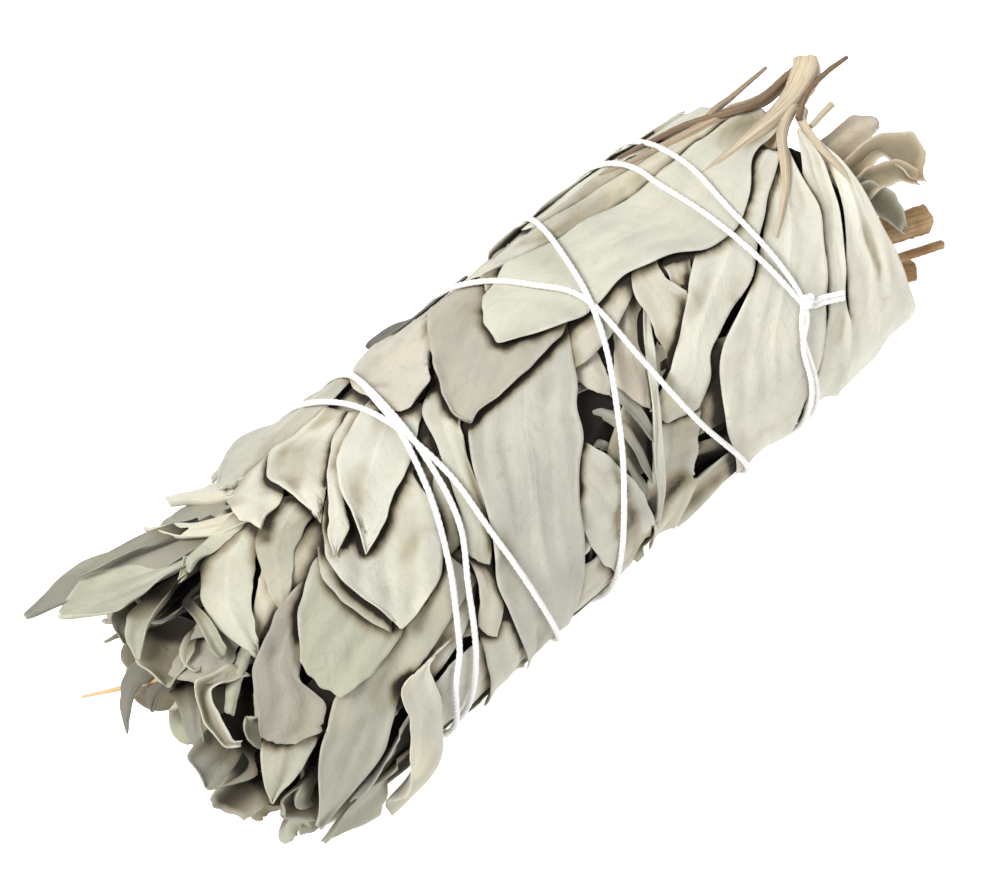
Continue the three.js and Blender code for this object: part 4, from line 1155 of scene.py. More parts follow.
def leaf_finish(colours):
    def build(nodes):
        place = nodes.place()
        pink, green, bright = nodes.parts(nodes.attribute("tint"))
        yellow = nodes.attribute("tint", "Alpha")
        # deep is the painted shade from the place map
        along, aside, deep = nodes.parts(nodes.attribute("place"))
        back = nodes.attribute("place", "Alpha")
        uv = nodes.add("ShaderNodeUVMap", {"uv_map": "UVMap"})
        grow, spread, _ = nodes.parts(uv, "XYZ")
        patch = nodes.noise(place, 110, 3, 0.6)
        stretch = nodes.add("ShaderNodeMapping", None, {"Vector": uv, "Scale": (1.6, 6.5, 1)})
        streak = nodes.noise(stretch, 1.0, 3, 0.55, Distortion=0.6)
        mottle = nodes.noise(place, 420, 4, 0.65)
        grain = nodes.noise(place, 2600, 3, 0.7)
        colour = nodes.mix(pink * (0.45 + 0.9 * patch), colours.leaf, colours.leaf_pink)
        colour = nodes.mix(green * (0.5 + 0.6 * along), colour, colours.leaf_green)
        colour = nodes.mix(yellow * patch.step(0.45, 0.7) * 0.7, colour, colours.leaf_yellow)
        browned = yellow.step(1.05, 1.2) * (0.35 + 0.65 * patch.step(0.4, 0.62))
        colour = nodes.mix(browned * 0.9, colour, colours.leaf_cut)
        # veins leave the midrib at a slant and fade towards the edge
        rib = (0 - (spread / 0.028) ** 2.0).exp() * (1 - along)
        wander = nodes.noise(place, 260, 2, 0.5)
        lines = ((grow - abs(spread) * 1.3) / 0.26 + wander * 0.9).fraction()
        vein = abs(lines - 0.5).step(0.5, 0.36) * (1 - aside) * 0.8
        colour = nodes.mix(rib * 0.5 * back, colour, colours.leaf_rim)
        colour = nodes.mix(vein * 0.17, colour, colours.leaf_rim)
        rim = aside.step(0.86, 1.0) * mottle.step(0.35, 0.6)
        colour = nodes.mix(rim * 0.45, colour, colours.leaf_rim)
        spots = mottle.step(0.6, 0.75) * 0.38
        colour = nodes.mix(spots, colour, colours.leaf_stain)
        # painted shade: brown, then near-black, where leaves go in under others and deep in the bunch
        colour = nodes.mix(deep.step(0.0, 0.45) * 0.78, colour, colours.leaf_shade)
        colour = nodes.mix(deep.step(0.35, 0.8), colour, colours.leaf_deep_shade)
        value = bright * (0.72 + 0.42 * patch) * (0.92 + 0.16 * grain) * (0.93 + 0.16 * streak)
        grey = nodes.add("ShaderNodeCombineColor", None, {0: value, 1: value, 2: value})
        colour = nodes.mix(1.0, colour, grey, "MULTIPLY")
        rough = 0.78 + 0.16 * mottle
        wrinkle = nodes.noise(place, 650, 4, 0.6)
        height = 0.6 * wrinkle + 0.2 * grain + 0.55 * streak + (0.3 * back - 0.1) * vein
        height = height + (0.6 * back - 0.35) * rib
        return colour, rough, height, 0.16

    return finish("sage leaf", build, sheen=0.08, specular=0.15)


def wood_finish(name, bark, pale, colours):
    def build(nodes):
        darkened = nodes.attribute("tint", "Alpha")
        place = nodes.place()
        cut, ring, _ = nodes.parts(nodes.attribute("tint"))
        wound = nodes.attribute("place", "Vector")
        stretch = nodes.add("ShaderNodeMapping", None, {"Vector": wound, "Scale": (0.9, 3.2, 3.2)})
        fibre = nodes.noise(stretch, 1.0, 4, 0.65)
        patch = nodes.noise(place, 160, 3, 0.6)
        colour = nodes.mix(patch.step(0.35, 0.68), bark, pale)
        colour = nodes.mix(fibre.step(0.45, 0.7) * 0.6, colour, colours.wood_dark)
        pith = nodes.mix(ring.step(0.25, 0.55), colours.pith, pale)
        colour = nodes.mix(cut, colour, pith)
        # darkens the darker twigs, and on the last shoot stalk paints the shadow line beside the main
        # stalk
        colour = nodes.mix(darkened * 0.8, colour, colours.wood_dark)
        grain = nodes.noise(place, 2200, 3, 0.7)
        return colour, 0.7 + 0.2 * fibre, fibre * 0.8 + 0.3 * grain, 0.22

    return finish(name, build, specular=0.35)


def cotton_finish(colours):
    def build(nodes):
        place = nodes.place()
        lint = nodes.noise(place, 2400, 3, 0.7)
        patch = nodes.noise(place, 150, 2, 0.5)
        colour = nodes.mix(patch * 0.5, colours.cotton, colours.cotton_shade)
        colour = nodes.mix(lint.step(0.55, 0.75) * 0.3, colour, colours.cotton_shade)
        return colour, 0.82 + 0.1 * lint, lint, 0.06

    return finish("cotton thread", build, sheen=0.4)


def straw_finish(colours):
    def build(nodes):
        place = nodes.place()
        stretch = nodes.add("ShaderNodeMapping", None, {"Vector": place, "Scale": (90, 1400, 1400)})
        streak = nodes.noise(stretch, 1.0, 3, 0.6)
        colour = nodes.mix(streak, colours.straw, colours.straw_pale)
        return colour, 0.5 + 0.2 * streak, streak, 0.08

    return finish("dry straw", build, specular=0.5)


# ---- Sizes and colours that a user would change ----


def length_property(name, description, default, least, most):
    return FloatProperty(
        name=name, description=description, default=default, min=least, max=most,
        subtype="DISTANCE", unit="LENGTH",
    )


def count_property(name, description, default, least, most):
    return IntProperty(name=name, description=description, default=default, min=least, max=most)


def colour_property(name, description, default):
    return FloatVectorProperty(
        name=name, description=description, default=default, subtype="COLOR", size=3, min=0, max=1
    )


class SageBunchSizes(bpy.types.PropertyGroup):
    leaf_thickness: length_property(
        "Leaf thickness", "Thickness of a dried leaf", 0.0003, 0.0002, 0.0006
    )
    thread_radius: length_property(
        "Thread radius", "Half the thickness of the cotton thread", 0.0004, 0.0003, 0.0007
    )
    thread_twist: length_property(
        "Twist length", "Length in which the strands turn round once", 0.0026, 0.001, 0.006
    )
    strands: count_property("Strands", "Strands twisted into the thread", 3, 2, 5)
    packed_leaves: count_property("Packed leaves", "Inner leaves that show at each end", 110, 20, 200)
    lens: FloatProperty(
        name="Lens", description="Focal length of the camera in mm", default=100.0, min=35, max=200
    )


class SageBunchColours(bpy.types.PropertyGroup):
    leaf: colour_property("Leaf", "Pale grey of most leaves", (0.57, 0.56, 0.485))
    leaf_pink: colour_property("Pinkish leaf", "Leaves that dried pinkish brown", (0.56, 0.515, 0.42))
    leaf_green: colour_property("Green leaf", "Greener leaves and tips", (0.47, 0.475, 0.345))
    leaf_yellow: colour_property("Yellowed leaf", "Yellowed patches", (0.62, 0.54, 0.36))
    leaf_cut: colour_property("Cut leaf", "Browned ends of the cut leaves", (0.42, 0.30, 0.19))
    leaf_rim: colour_property("Leaf rim", "Pale edges and veins", (0.74, 0.71, 0.60))
    leaf_stain: colour_property("Leaf stain", "Darker speckles", (0.36, 0.33, 0.25))
    # painted shade: brown where leaves go in under others, near-black deep in the bunch
    leaf_shade: colour_property("Leaf shade", "Where leaves go in under others", (0.30, 0.25, 0.15))
    leaf_deep_shade: colour_property("Deep leaf", "Leaves deep in the bunch", (0.022, 0.016, 0.009))
    wood: colour_property("Wood", "Bark of the woody stems", (0.36, 0.20, 0.08))
    wood_pale: colour_property("Pale wood", "Weathered bark", (0.58, 0.42, 0.22))
    stalk: colour_property("Stalk", "The stalks of the shoot", (0.58, 0.49, 0.36))
    wood_dark: colour_property("Dark wood", "Dark fibres of the bark", (0.15, 0.08, 0.04))
    pith: colour_property("Pith", "Pith in a cut stem", (0.62, 0.52, 0.36))
    cotton: colour_property("Cotton", "The binding thread", (0.86, 0.86, 0.84))
    cotton_shade: colour_property("Cotton shade", "Hollows of the thread", (0.68, 0.67, 0.63))
    straw: colour_property("Straw", "The loose straw", (0.55, 0.33, 0.13))
    straw_pale: colour_property("Pale straw", "Streaks of the straw", (0.72, 0.52, 0.28))
    floor: colour_property("Floor", "The floor", (0.92, 0.92, 0.92))


# ---- The laid bunch, worked out once ----


class Bunch:
    """Every leaf, stalk and turn of thread, laid one over the other."""

    def __init__(self, sizes):
        plans = [*inner_tips(), *cut_leaves(), *under_leaves(), *far_leaves(), *NEAR_LEAVES]
        numbers = itertools.count()
        self.stem_leaves = [Leaf(plan, plan.get("seed") or next(numbers), sizes) for plan in plans]
        self.shoot_leaves = [Leaf(plan, 500 + i, sizes) for i, plan in enumerate(SHOOT_LEAVES)]
        leaves = self.stem_leaves + self.shoot_leaves
        pile = Pile()
        for _ in range(SQUEEZES):
            for item in leaves:
                item.lay(pile)
            for item in leaves:
                item.press(pile)
            pile = Pile(pile.squeezed())
        for item in leaves:
            item.lay(pile)
        self.stalks = lay_stalks(pile)
        self.pile = pile
        self.thread = lay_thread(pile, sizes.thread_radius / MM)


def lay_stalks(pile):
    """Paths (x, y, z, radius) of the shoot's stalks, lying on the pile."""
    paths = []
    for plan in STALKS:
        line = spline(plan["knots"], 0.4)
        inner = np.minimum(line[:, 0], STALK_END)
        r = taut(pile.top(inner, line[:, 1], 1) + 0.9 * line[:, 2] - 0.5 + plan["lift"], 60)
        paths.append(np.column_stack([to_space(line[:, 0], line[:, 1], r), line[:, 2]]))
    return paths


def taut(least, pulls):
    """The shortest line that stays above least."""
    r = least.copy()
    for _ in range(pulls):
        r = np.maximum(least, np.pad((r[:-2] + r[2:]) / 2, 1, mode="edge"))
    for _ in range(3):
        r[1:-1] = (r[:-2] + 2 * r[1:-1] + r[2:]) / 4
    return r


def lay_thread(pile, radius):
    """The thread's route (s, w, r), pulled taut over the pile."""
    line = spline(THREAD_ROUTE, 0.8)
    least = pile.top(line[:, 0], line[:, 1], 1) + radius * 0.8
    r = np.minimum(taut(least, 700), floor_at(line[:, 0], line[:, 1], radius + 0.02))
    return np.column_stack([line, r])


@functools.cache
def bunch():
    return Bunch(bpy.context.scene.sage_bunch_sizes)


def finishes():
    """The materials, made once."""
    colours = bpy.context.scene.sage_bunch_colours
    made = {material.name: material for material in bpy.data.materials}
    for name, make in (
        ("sage leaf", leaf_finish),
        ("sage wood", lambda c: wood_finish("sage wood", c.wood, c.wood_pale, c)),
        ("sage stalk", lambda c: wood_finish("sage stalk", c.stalk, c.pith, c)),
        ("cotton thread", cotton_finish),
        ("dry straw", straw_finish),
    ):
        if name not in made:
            made[name] = make(colours)
    return made


def ride(piece, slot, *nodes):
    """Puts the piece on the bunch's body, in place of the named solids if there are any."""
    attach(piece, "root")
    if nodes:
        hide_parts(*nodes)


class Rod:
    """The closed mesh of a fluted rod along a path of (x, y, z, radius)."""

    def __init__(self, path, sides=14, flute=0.12, seed=0, rough=0.05, dark=0.0):
        rng = np.random.default_rng(seed)
        centre, radius = path[:, :3], path[:, 3]
        along = np.gradient(centre, axis=0)
        along /= np.linalg.norm(along, axis=1, keepdims=True)
        side = np.cross(along, (0.13, 0.2, 1.0))
        side /= np.linalg.norm(side, axis=1, keepdims=True)
        over = np.cross(side, along)
        turn = np.linspace(0, 2 * np.pi, sides, endpoint=False)[None, :]
        n = len(path)
        run = np.linspace(0, 1, n)[:, None]
        bumps = 1 + flute * np.cos(4 * turn + 0.8 * run + rng.random() * 6)
        bumps = bumps + rough * np.sin(7 * turn + 9 * run) + rough * rng.normal(size=(n, sides)) * 0.5
        ring = radius[:, None] * bumps
        rings = (
            centre[:, None]
            + (ring * np.cos(turn))[..., None] * side[:, None]
            + (ring * np.sin(turn))[..., None] * over[:, None]
        )
        shares = (1.0, 0.72, 0.4, 0.02)
        ends = []
        for row, way in ((0, -1), (n - 1, 1)):
            for share in shares:
                dome = way * radius[row] * (0.06 * share - 0.04 * rng.random())
                ends.append(centre[row] + (rings[row] - centre[row]) * share + along[row] * dome)
        lines = [*ends[3::-1], *rings, *ends[4:]]
        rows = len(lines)
        self.verts = np.concatenate(lines)
        index = np.arange(rows * sides).reshape(rows, sides)
        after = np.roll(index, -1, axis=1)
        quads = np.stack([index[:-1], after[:-1], after[1:], index[1:]], -1).reshape(-1, 4)
        # close the small holes at both ends with fans of quads
        caps = []
        for line, way in ((index[0], -1), (index[-1], 1)):
            for k in range(0, sides - 2, 2):
                quad = [line[0], line[k + 1], line[k + 2], line[(k + 3) % sides]]
                if len(set(quad)) == 4:
                    caps.append(quad[::way])
        faces = np.concatenate([quads, np.array(caps)])
        self.faces = facing_out(faces, self.verts, len(quads) // 2, centre[n // 2])
        tint = np.zeros((rows, sides, 4))
        tint[..., 0] = np.array([1.0] * 4 + [0.0] * n + [1.0] * 4)[:, None]
        tint[..., 1] = np.array([*shares[::-1], *[1.0] * n, *shares])[:, None]
        tint[..., 2] = np.linspace(0, 1, rows)[:, None]
        tint[..., 3] = dark
        self.tint = tint.reshape(-1, 4)
        lengths = np.concatenate([[-1.0] * 4, run_along(centre), [FAR_OFF] * 4])
        wound = np.broadcast_arrays(lengths[:, None] / 10, np.cos(turn), np.sin(turn), 1.0)
        self.place = np.stack(wound, -1).reshape(-1, 4)
        uv = np.broadcast_arrays(np.linspace(0, 1, rows)[:, None], turn / 6.3)
        self.uv = np.stack(uv, -1).reshape(-1, 2)


# ---- Pieces ----


class SAGEBUNCH_OT_leafy_stems(bpy.types.Operator):
    """Builds the leaves of the eight stems, one piece for each stem"""

    bl_idname = "sage_bunch.leafy_stems"
    bl_label = "Leafy Stems"

    def execute(self, context):
        slots = ("leaf_pale", "leaf_grey", "leaf_tan", "leaf_green")
        for stem in range(STEM_COUNT):
            sheets = [item.sheet(bunch().pile) for item in bunch().stem_leaves if item.stem() == stem]
            piece = mesh_piece(f"stem_{stem + 1}_leaves", sheets, "sage leaf")
            ride(piece, slots[stem % 4], f"leafy_stem_{stem + 1}")
        return {"FINISHED"}


class SAGEBUNCH_OT_top_shoot(bpy.types.Operator):
    """Builds the leafy shoot on top, with its stalks"""

    bl_idname = "sage_bunch.top_shoot"
    bl_label = "Top Shoot"

    def execute(self, context):
        sheets = [item.sheet(bunch().pile) for item in bunch().shoot_leaves]
        ride(mesh_piece("shoot_leaves", sheets, "sage leaf"), "leaf_shoot", "top_shoot")
        rods = [
            Rod(path, seed=40 + i, flute=0.16, dark=plan["dark"])
            for i, (path, plan) in enumerate(zip(bunch().stalks, STALKS))
        ]
        ride(mesh_piece("shoot_stalks", rods, "sage stalk"), "leaf_shoot", "top_shoot")
        return {"FINISHED"}


class SAGEBUNCH_OT_woody_stems(bpy.types.Operator):
    """Builds the eight woody stems with their cut ends"""

    bl_idname = "sage_bunch.woody_stems"
    bl_label = "Woody Stems"

    def execute(self, context):
        for stem, (s, w, r, radius) in enumerate(WOOD_ENDS):
            centre = stem * SECTOR
            turns = ((18, centre, 8.5), (34, centre, 9), (44, lerp(centre, w, 0.2), 9.4), (s, w, r))
            points = [(*to_space(*turn), radius * share) for turn, share in zip(turns, (0.75, 1, 1, 1))]
            rod = Rod(spline(points, 0.5), seed=stem)
            piece = mesh_piece(f"woody_stem_{stem + 1}_bark", [rod], "sage wood")
            ride(piece, "stem", f"woody_stem_{stem + 1}")
        return {"FINISHED"}


class SAGEBUNCH_OT_straw(bpy.types.Operator):
    """Builds the loose straw among the tips"""

    bl_idname = "sage_bunch.straw"
    bl_label = "Straw"

    def execute(self, context):
        points = [(*to_space(*place), radius) for *place, radius in STRAW_PLACES]
        rod = Rod(spline(points, 0.5), sides=10, flute=0.05, seed=70)
        ride(mesh_piece("straw_stalk", [rod], "dry straw"), "straw", "straw")
        return {"FINISHED"}


def group_tree(name, inputs):
    """A tree with named inputs: its Nodes and its inputs as Fields."""
    tree = bpy.data.node_groups.new(name, "GeometryNodeTree")
    for key, kind, *default in (*inputs, ("Material", "NodeSocketMaterial")):
        socket = tree.interface.new_socket(key, in_out="INPUT", socket_type=kind)
        if default:
            socket.default_value = default[0]
    tree.interface.new_socket("Geometry", in_out="OUTPUT", socket_type="NodeSocketGeometry")
    nodes = Nodes(tree)
    group = nodes.add("NodeGroupInput", output=None)
    return nodes, {socket.name: Field(nodes, socket) for socket in group.outputs if socket.name}


def close_tree(nodes, mesh, material):
    """Ends a tree in a smooth mesh with its material."""
    mesh = nodes.add("GeometryNodeSetShadeSmooth", None, {"Geometry": mesh, "Shade Smooth": True})
    mesh = nodes.add("GeometryNodeSetMaterial", None, {"Geometry": mesh, "Material": material})
    nodes.add("NodeGroupOutput", None, {0: mesh}, None)
    return nodes.tree


def packed_tree():
    """Inner leaves packed side by side: each is a thin slab bent round the axis."""
    nodes, given = group_tree("Packed leaves", (
        ("Count", "NodeSocketInt", 100),
        ("Seed", "NodeSocketInt", 1),
        ("Root", "NodeSocketFloat", 0.03),
        ("Tip", "NodeSocketFloat", 0.05),
        ("Spread", "NodeSocketFloat", 0.006),
        ("Point", "NodeSocketFloat", 0.0),
        ("Thickness", "NodeSocketFloat", 0.0004),
        ("Inner radius", "NodeSocketFloat", 0.0025),
        ("Outer radius", "NodeSocketFloat", 0.0155),
    ))

    def random(low, high, seed):
        inputs = {2: low, 3: high, 8: given["Seed"] * 10 + seed}
        return nodes.add("FunctionNodeRandomValue", {"data_type": "FLOAT"}, inputs, 1)

    def store(geometry, name, value):
        inputs = {"Geometry": geometry, "Name": name, "Value": value}
        settings = {"data_type": "FLOAT", "domain": "POINT"}
        return nodes.add("GeometryNodeStoreNamedAttribute", settings, inputs)

    def named(name):
        return nodes.add("GeometryNodeInputNamedAttribute", {"data_type": "FLOAT"}, {"Name": name})

    points = nodes.add("GeometryNodePoints", None, {"Count": given["Count"]})
    index = nodes.add("GeometryNodeInputIndex")
    share = index / given["Count"]
    out = given["Inner radius"] + (given["Outer radius"] - given["Inner radius"]) * share**0.5
    points = store(points, "out", out + random(-0.0006, 0.0006, 1))
    points = store(points, "turn", index * GOLDEN_ANGLE + random(-0.5, 0.5, 2))
    points = store(points, "reach", given["Tip"] + given["Spread"] * random(-1.0, 0.9, 3))
    points = store(points, "wide", random(0.003, 0.0055, 4))
    points = store(points, "fold", random(-0.5, 0.6, 5))
    points = store(points, "lean", random(-0.25, 0.25, 6))
    points = store(points, "grey", random(0.0, 1.0, 7))
    grid = {"Size": (1, 2, 1), "Vertices X": 14, "Vertices Y": 7, "Vertices Z": 2}
    slab = nodes.add("GeometryNodeMeshCube", None, grid)
    cloud = nodes.add("GeometryNodeInstanceOnPoints", None, {"Points": points, "Instance": slab})
    mesh = nodes.add("GeometryNodeRealizeInstances", None, {0: cloud})
    # all slabs lie at the origin, so a place in space is also a place in its slab
    u, v, z = nodes.parts(nodes.add("GeometryNodeInputPosition"), "XYZ")
    for name, value in (("u", u + 0.5), ("v", v), ("z", z)):
        mesh = store(mesh, name, value)
    u, v, z = named("u"), named("v"), named("z")
    tip = 1 - given["Point"] * u**3.0
    half = named("wide") * tip * (1 - 0.25 * (u * 9 + named("turn")).sin() * 0.5)
    s = given["Root"] + (named("reach") - given["Root"]) * u * (1 - 0.12 * v * v)
    flat = half / (1 + abs(named("fold")) * 0.45)
    r = named("out") + named("fold") * abs(v) * half + 0.0004 * (u * 7 + v * 2 + named("turn") * 5).sin()
    r = r + given["Point"] * 0.002 * u * u
    radius = r + z * given["Thickness"]
    angle = named("turn") + named("lean") * u + v * flat / named("out")
    x = s - CENTRE_S * MM
    y = radius * angle.sin() * -1.0 - CENTRE_Y * MM
    height = AXIS_HEIGHT * MM - AXIS_FALL * s + radius * angle.cos()
    spot = nodes.add("ShaderNodeCombineXYZ", None, {0: x, 1: y, 2: height})
    mesh = nodes.add("GeometryNodeSetPosition", None, {"Geometry": mesh, "Position": spot})
    return close_tree(nodes, mesh, given["Material"])


def baked(name, tree, values, base=None):
    """The plain mesh object that a node tree makes."""
    carrier = linked(name + "_carrier", base or bpy.data.meshes.new(name + "_carrier"))
    modifier = carrier.modifiers.new("nodes", "NODES")
    modifier.node_group = tree
    for item in tree.interface.items_tree:
        if item.in_out == "INPUT" and item.name in values:
            modifier[item.identifier] = values[item.name]
    graph = bpy.context.evaluated_depsgraph_get()
    shaped = carrier.evaluated_get(graph)
    mesh = bpy.data.meshes.new_from_object(shaped, preserve_all_data_layers=True, depsgraph=graph)
    carrier.modifiers.clear()
    bpy.data.objects.remove(carrier)
    mesh.name = name
    return linked(name, mesh)


class SAGEBUNCH_OT_packed_leaves(bpy.types.Operator):
    """Builds the inner leaves that show at both ends, and the heart between them, painted dark as shade
    """

    bl_idname = "sage_bunch.packed_leaves"
    bl_label = "Packed Leaves"

    def execute(self, context):
        sizes = context.scene.sage_bunch_sizes
        tree = packed_tree()
        common = {"Count": sizes.packed_leaves, "Thickness": sizes.leaf_thickness}
        common["Material"] = finishes()["sage leaf"]
        for name, values in (("packed_tips", PACKED_TIPS), ("packed_cuts", PACKED_CUTS)):
            piece = baked(name, tree, {**common, **values})
            recolour(piece.data)
            ride(piece, "leaf_tan")
        ride(heart_piece(bunch().pile.support), "leaf_tan")
        return {"FINISHED"}


def recolour(mesh):
    """Turns the slab's own numbers into the vein map, the tints and the painted shade."""
    count = len(mesh.vertices)
    values = {}
    for key in ("u", "v", "grey", "out"):
        values[key] = np.empty(count, np.float32)
        mesh.attributes[key].data.foreach_get("value", values[key])
    tint = np.zeros((count, 4))
    tint[:, 0] = 0.2 + 0.4 * values["grey"]
    tint[:, 1] = 0.5 - 0.4 * values["grey"]
    tint[:, 2] = 0.75 + 0.2 * values["grey"]
    tint[:, 3] = 0.3
    place = np.zeros((count, 4))
    place[:, 0] = values["u"]
    place[:, 1] = np.abs(values["v"])
    # painted shade, darkest at the root where the packed leaves go into the bunch
    place[:, 2] = np.clip(0.95 - 1.0 * values["u"], 0, 1)
    colour_layer(mesh, "tint", tint)
    colour_layer(mesh, "place", place)
    if "UVMap" not in mesh.uv_layers:
        mesh.uv_layers.new(name="UVMap")
    corner = np.empty(len(mesh.loops), np.int32)
    mesh.loops.foreach_get("vertex_index", corner)
    uv = np.stack([values["u"] * 3, values["v"] * 0.4], -1)[corner]
    mesh.uv_layers["UVMap"].data.foreach_set("uv", uv.ravel())


def heart_piece(support):
    """The mass of leaves under the outer ones, painted dark as the shade deep in the bunch."""
    s = np.arange(-46, 41.01, 1.0)
    w = np.linspace(0, CIRCUMFERENCE, 120, endpoint=False)
    ss, ww = np.meshgrid(s, w, indexing="ij")
    pile = Pile(support)
    r = pile.top(ss, ww, 0) - 0.5
    shrink = np.clip(np.minimum(ss + 46, 41 - ss) / 3, 0, 1) ** 0.5
    r = np.minimum(r - 0.3 * np.sin(ww * 1.9 + 0.2 * ss), 18.5) * (0.02 + 0.98 * shrink)
    verts = to_space(ss, ww, r).reshape(-1, 3)
    rows, sides = ss.shape
    index = np.arange(rows * sides).reshape(rows, sides)
    after = np.roll(index, -1, axis=1)
    faces = np.stack([index[:-1], index[1:], after[1:], after[:-1]], -1).reshape(-1, 4)
    number = rows * sides // 2
    centre = (verts[faces[number, 0], 0], -CENTRE_Y, AXIS_HEIGHT)
    # painted shade: the whole heart is as dark as the deepest leaves
    place = np.tile((0.5, 0.5, 1.0, 0.0), (len(verts), 1))
    # the painted shade lightens to brown towards the cut end
    place[:, 2] -= 0.45 * ease((ss.ravel() - 32) / 7)
    heart = types.SimpleNamespace(
        verts=verts,
        faces=facing_out(faces, verts, number, centre),
        tint=np.tile((0.4, 0.3, 0.5, 0.3), (len(verts), 1)),
        place=place,
        uv=np.stack([ss, ww], -1).reshape(-1, 2) / 10,
    )
    return mesh_piece("packed_heart", [heart], "sage leaf")


def thread_tree():
    """Strands twisted round a path."""
    nodes, given = group_tree("Twisted thread", (
        ("Path", "NodeSocketGeometry"),
        ("Strands", "NodeSocketInt", 3),
        ("Radius", "NodeSocketFloat", 0.0005),
        ("Twist length", "NodeSocketFloat", 0.0026),
        ("Step", "NodeSocketFloat", 0.00035),
    ))
    fine = {"Curve": given["Path"], "Length": given["Step"]}
    path = nodes.add("GeometryNodeResampleCurve", {"mode": "LENGTH"}, fine)
    copies = {"Geometry": path, "Amount": given["Strands"]}
    doubled = nodes.add("GeometryNodeDuplicateElements", {"domain": "SPLINE"}, copies, None)
    strand, number = (Field(nodes, doubled.outputs[k]) for k in (0, 1))
    length = nodes.add("GeometryNodeSplineParameter", output="Length")
    turn = length * FULL_TURN / given["Twist length"] + number * FULL_TURN / given["Strands"]
    normal = nodes.add("GeometryNodeInputNormal")
    tangent = nodes.add("GeometryNodeInputTangent")
    side = nodes.vector_math("CROSS_PRODUCT", {0: tangent, 1: normal})
    reach = given["Radius"] * 0.3
    one = nodes.vector_math("SCALE", {0: normal, "Scale": reach * turn.cos()})
    two = nodes.vector_math("SCALE", {0: side, "Scale": reach * turn.sin()})
    offset = nodes.vector_math("ADD", {0: one, 1: two})
    strand = nodes.add("GeometryNodeSetPosition", None, {"Geometry": strand, "Offset": offset})
    thin = {"Resolution": 6, "Radius": given["Radius"] * 0.74}
    ring = nodes.add("GeometryNodeCurvePrimitiveCircle", {"mode": "RADIUS"}, thin)
    swept = {"Curve": strand, "Profile Curve": ring, "Fill Caps": True}
    mesh = nodes.add("GeometryNodeCurveToMesh", None, swept)
    mesh = nodes.add("GeometryNodeRealizeInstances", None, {0: mesh})
    return close_tree(nodes, mesh, given["Material"])


class SAGEBUNCH_OT_binding_thread(bpy.types.Operator):
    """Builds the cotton thread, its knot and its loose end"""

    bl_idname = "sage_bunch.binding_thread"
    bl_label = "Binding Thread"

    def execute(self, context):
        sizes = context.scene.sage_bunch_sizes
        radius = sizes.thread_radius / MM
        route = bunch().thread
        paths = [to_space(route[:, 0], route[:, 1], route[:, 2])]
        knot = to_space(*THREAD_ROUTE[0], route[0, 2] + 0.2)
        t = np.linspace(0, 2 * np.pi * 2.2, 60)
        loops = [
            np.stack([0.55 * np.cos(t) + 0.05 * t, 0.5 * np.sin(t), 0.3 + 0.3 * np.sin(1.5 * t)], -1),
            np.stack([0.5 * np.sin(1.3 * t), 0.5 * np.cos(t), 0.3 + 0.3 * np.cos(1.2 * t)], -1),
        ]
        slope = THREAD_ROUTE[0][1] / BUNCH_RADIUS
        cos, sin = math.cos(slope), math.sin(slope)
        tilt = np.array([[1, 0, 0], [0, cos, -sin], [0, sin, cos]])
        paths += [knot + loop @ tilt.T for loop in loops]
        paths.append(paths[0][-9:] + (0.3, 0.35, 0.5))
        curve = bpy.data.curves.new("thread_path", "CURVE")
        curve.dimensions = "3D"
        for path in paths:
            line = curve.splines.new("POLY")
            line.points.add(len(path) - 1)
            line.points.foreach_set("co", np.column_stack([path * MM, np.ones(len(path))]).ravel())
        values = {
            "Strands": sizes.strands,
            "Radius": sizes.thread_radius,
            "Twist length": sizes.thread_twist,
            "Material": finishes()["cotton thread"],
        }
        ride(baked("cotton_thread", thread_tree(), values, curve), "thread", "binding_thread")
        return {"FINISHED"}


def aimed(item, place, aim):
    """Puts a light or a camera at a place and turns it to what it aims at."""
    item.location = place
    item.rotation_euler = (Vector(aim) - Vector(place)).to_track_quat("-Z", "Y").to_euler()
    return item


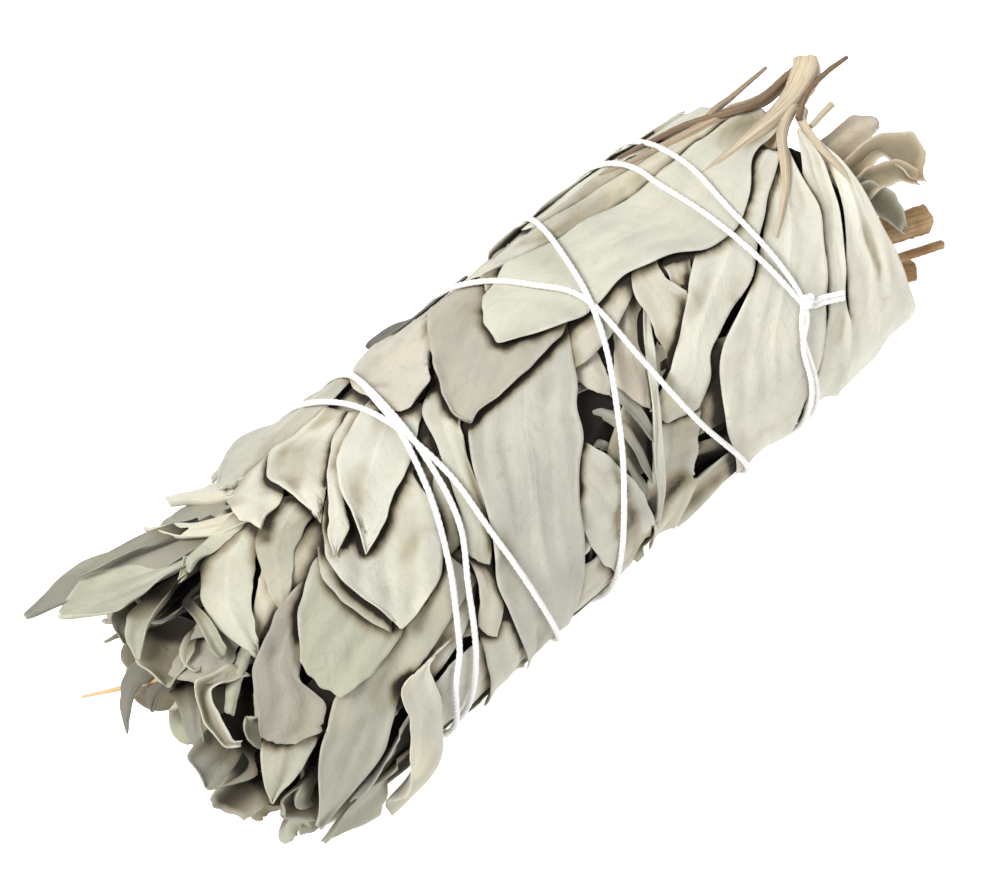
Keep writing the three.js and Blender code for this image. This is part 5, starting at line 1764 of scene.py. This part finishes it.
class SAGEBUNCH_OT_stage(bpy.types.Operator):
    """Sets up the floor, the soft lights and the camera"""

    bl_idname = "sage_bunch.stage"
    bl_label = "Stage"

    def execute(self, context):
        scene = context.scene
        colours = scene.sage_bunch_colours
        mesh = bpy.data.meshes.new("floor")
        corners = [(x * FLOOR_REACH, y * FLOOR_REACH, 0) for x, y in ((-1, -1), (1, -1), (1, 1), (-1, 1))]
        mesh.from_pydata(corners, [], [(0, 1, 2, 3)])
        floor = linked("floor", mesh)

        def build(nodes):
            grain = nodes.noise(nodes.place(), 40, 2, 0.5)
            return nodes.mix(grain * 0.05, colours.floor, (0.9, 0.9, 0.9)), 0.9 + 0 * grain, grain, 0.01

        mesh.materials.append(finish("pale floor", build, specular=0.1, glow=0.6))
        world = bpy.data.worlds.new("studio")
        world.use_nodes = True
        sky = world.node_tree.nodes["Background"].inputs
        sky[0].default_value = (1, 1, 1, 1)
        sky[1].default_value = SKY_STRENGTH
        scene.world = world
        for name, place, size, power in LIGHTS:
            light = bpy.data.lights.new(name, "AREA")
            light.size = size
            light.energy = power
            aimed(linked(name, light), place, LIGHT_AIM)
        camera = bpy.data.cameras.new("camera")
        camera.lens = scene.sage_bunch_sizes.lens
        camera.sensor_width = SENSOR_WIDTH
        camera.clip_start = 0.01
        scene.camera = aimed(linked("camera", camera), CAMERA_PLACE, CAMERA_AIM)
        scene.view_settings.view_transform = "Standard"
        scene.view_settings.look = "None"
        return {"FINISHED"}


class SAGEBUNCH_PT_panel(bpy.types.Panel):
    bl_label = "Sage Bunch"
    bl_idname = "SAGEBUNCH_PT_panel"
    bl_space_type = "VIEW_3D"
    bl_region_type = "UI"
    bl_category = "Sage Bunch"

    def draw(self, context):
        layout = self.layout
        for kind in PIECES:
            layout.operator(kind.bl_idname)
        for group in (context.scene.sage_bunch_sizes, context.scene.sage_bunch_colours):
            box = layout.box()
            for key in group.__annotations__:
                box.prop(group, key)


PIECES = (
    SAGEBUNCH_OT_stage,
    SAGEBUNCH_OT_leafy_stems,
    SAGEBUNCH_OT_packed_leaves,
    SAGEBUNCH_OT_top_shoot,
    SAGEBUNCH_OT_woody_stems,
    SAGEBUNCH_OT_straw,
    SAGEBUNCH_OT_binding_thread,
)
CLASSES = (SageBunchSizes, SageBunchColours, *PIECES, SAGEBUNCH_PT_panel)


def register():
    for kind in CLASSES:
        bpy.utils.register_class(kind)
    bpy.types.Scene.sage_bunch_sizes = PointerProperty(type=SageBunchSizes)
    bpy.types.Scene.sage_bunch_colours = PointerProperty(type=SageBunchColours)


def unregister():
    del bpy.types.Scene.sage_bunch_colours
    del bpy.types.Scene.sage_bunch_sizes
    for kind in reversed(CLASSES):
        bpy.utils.unregister_class(kind)


def main():
    register()
    bpy.ops.sage_bunch.stage()
    bpy.ops.sage_bunch.leafy_stems()
    bpy.ops.sage_bunch.packed_leaves()
    bpy.ops.sage_bunch.top_shoot()
    bpy.ops.sage_bunch.woody_stems()
    bpy.ops.sage_bunch.straw()
    bpy.ops.sage_bunch.binding_thread()


if __name__ == "__main__":
    main()
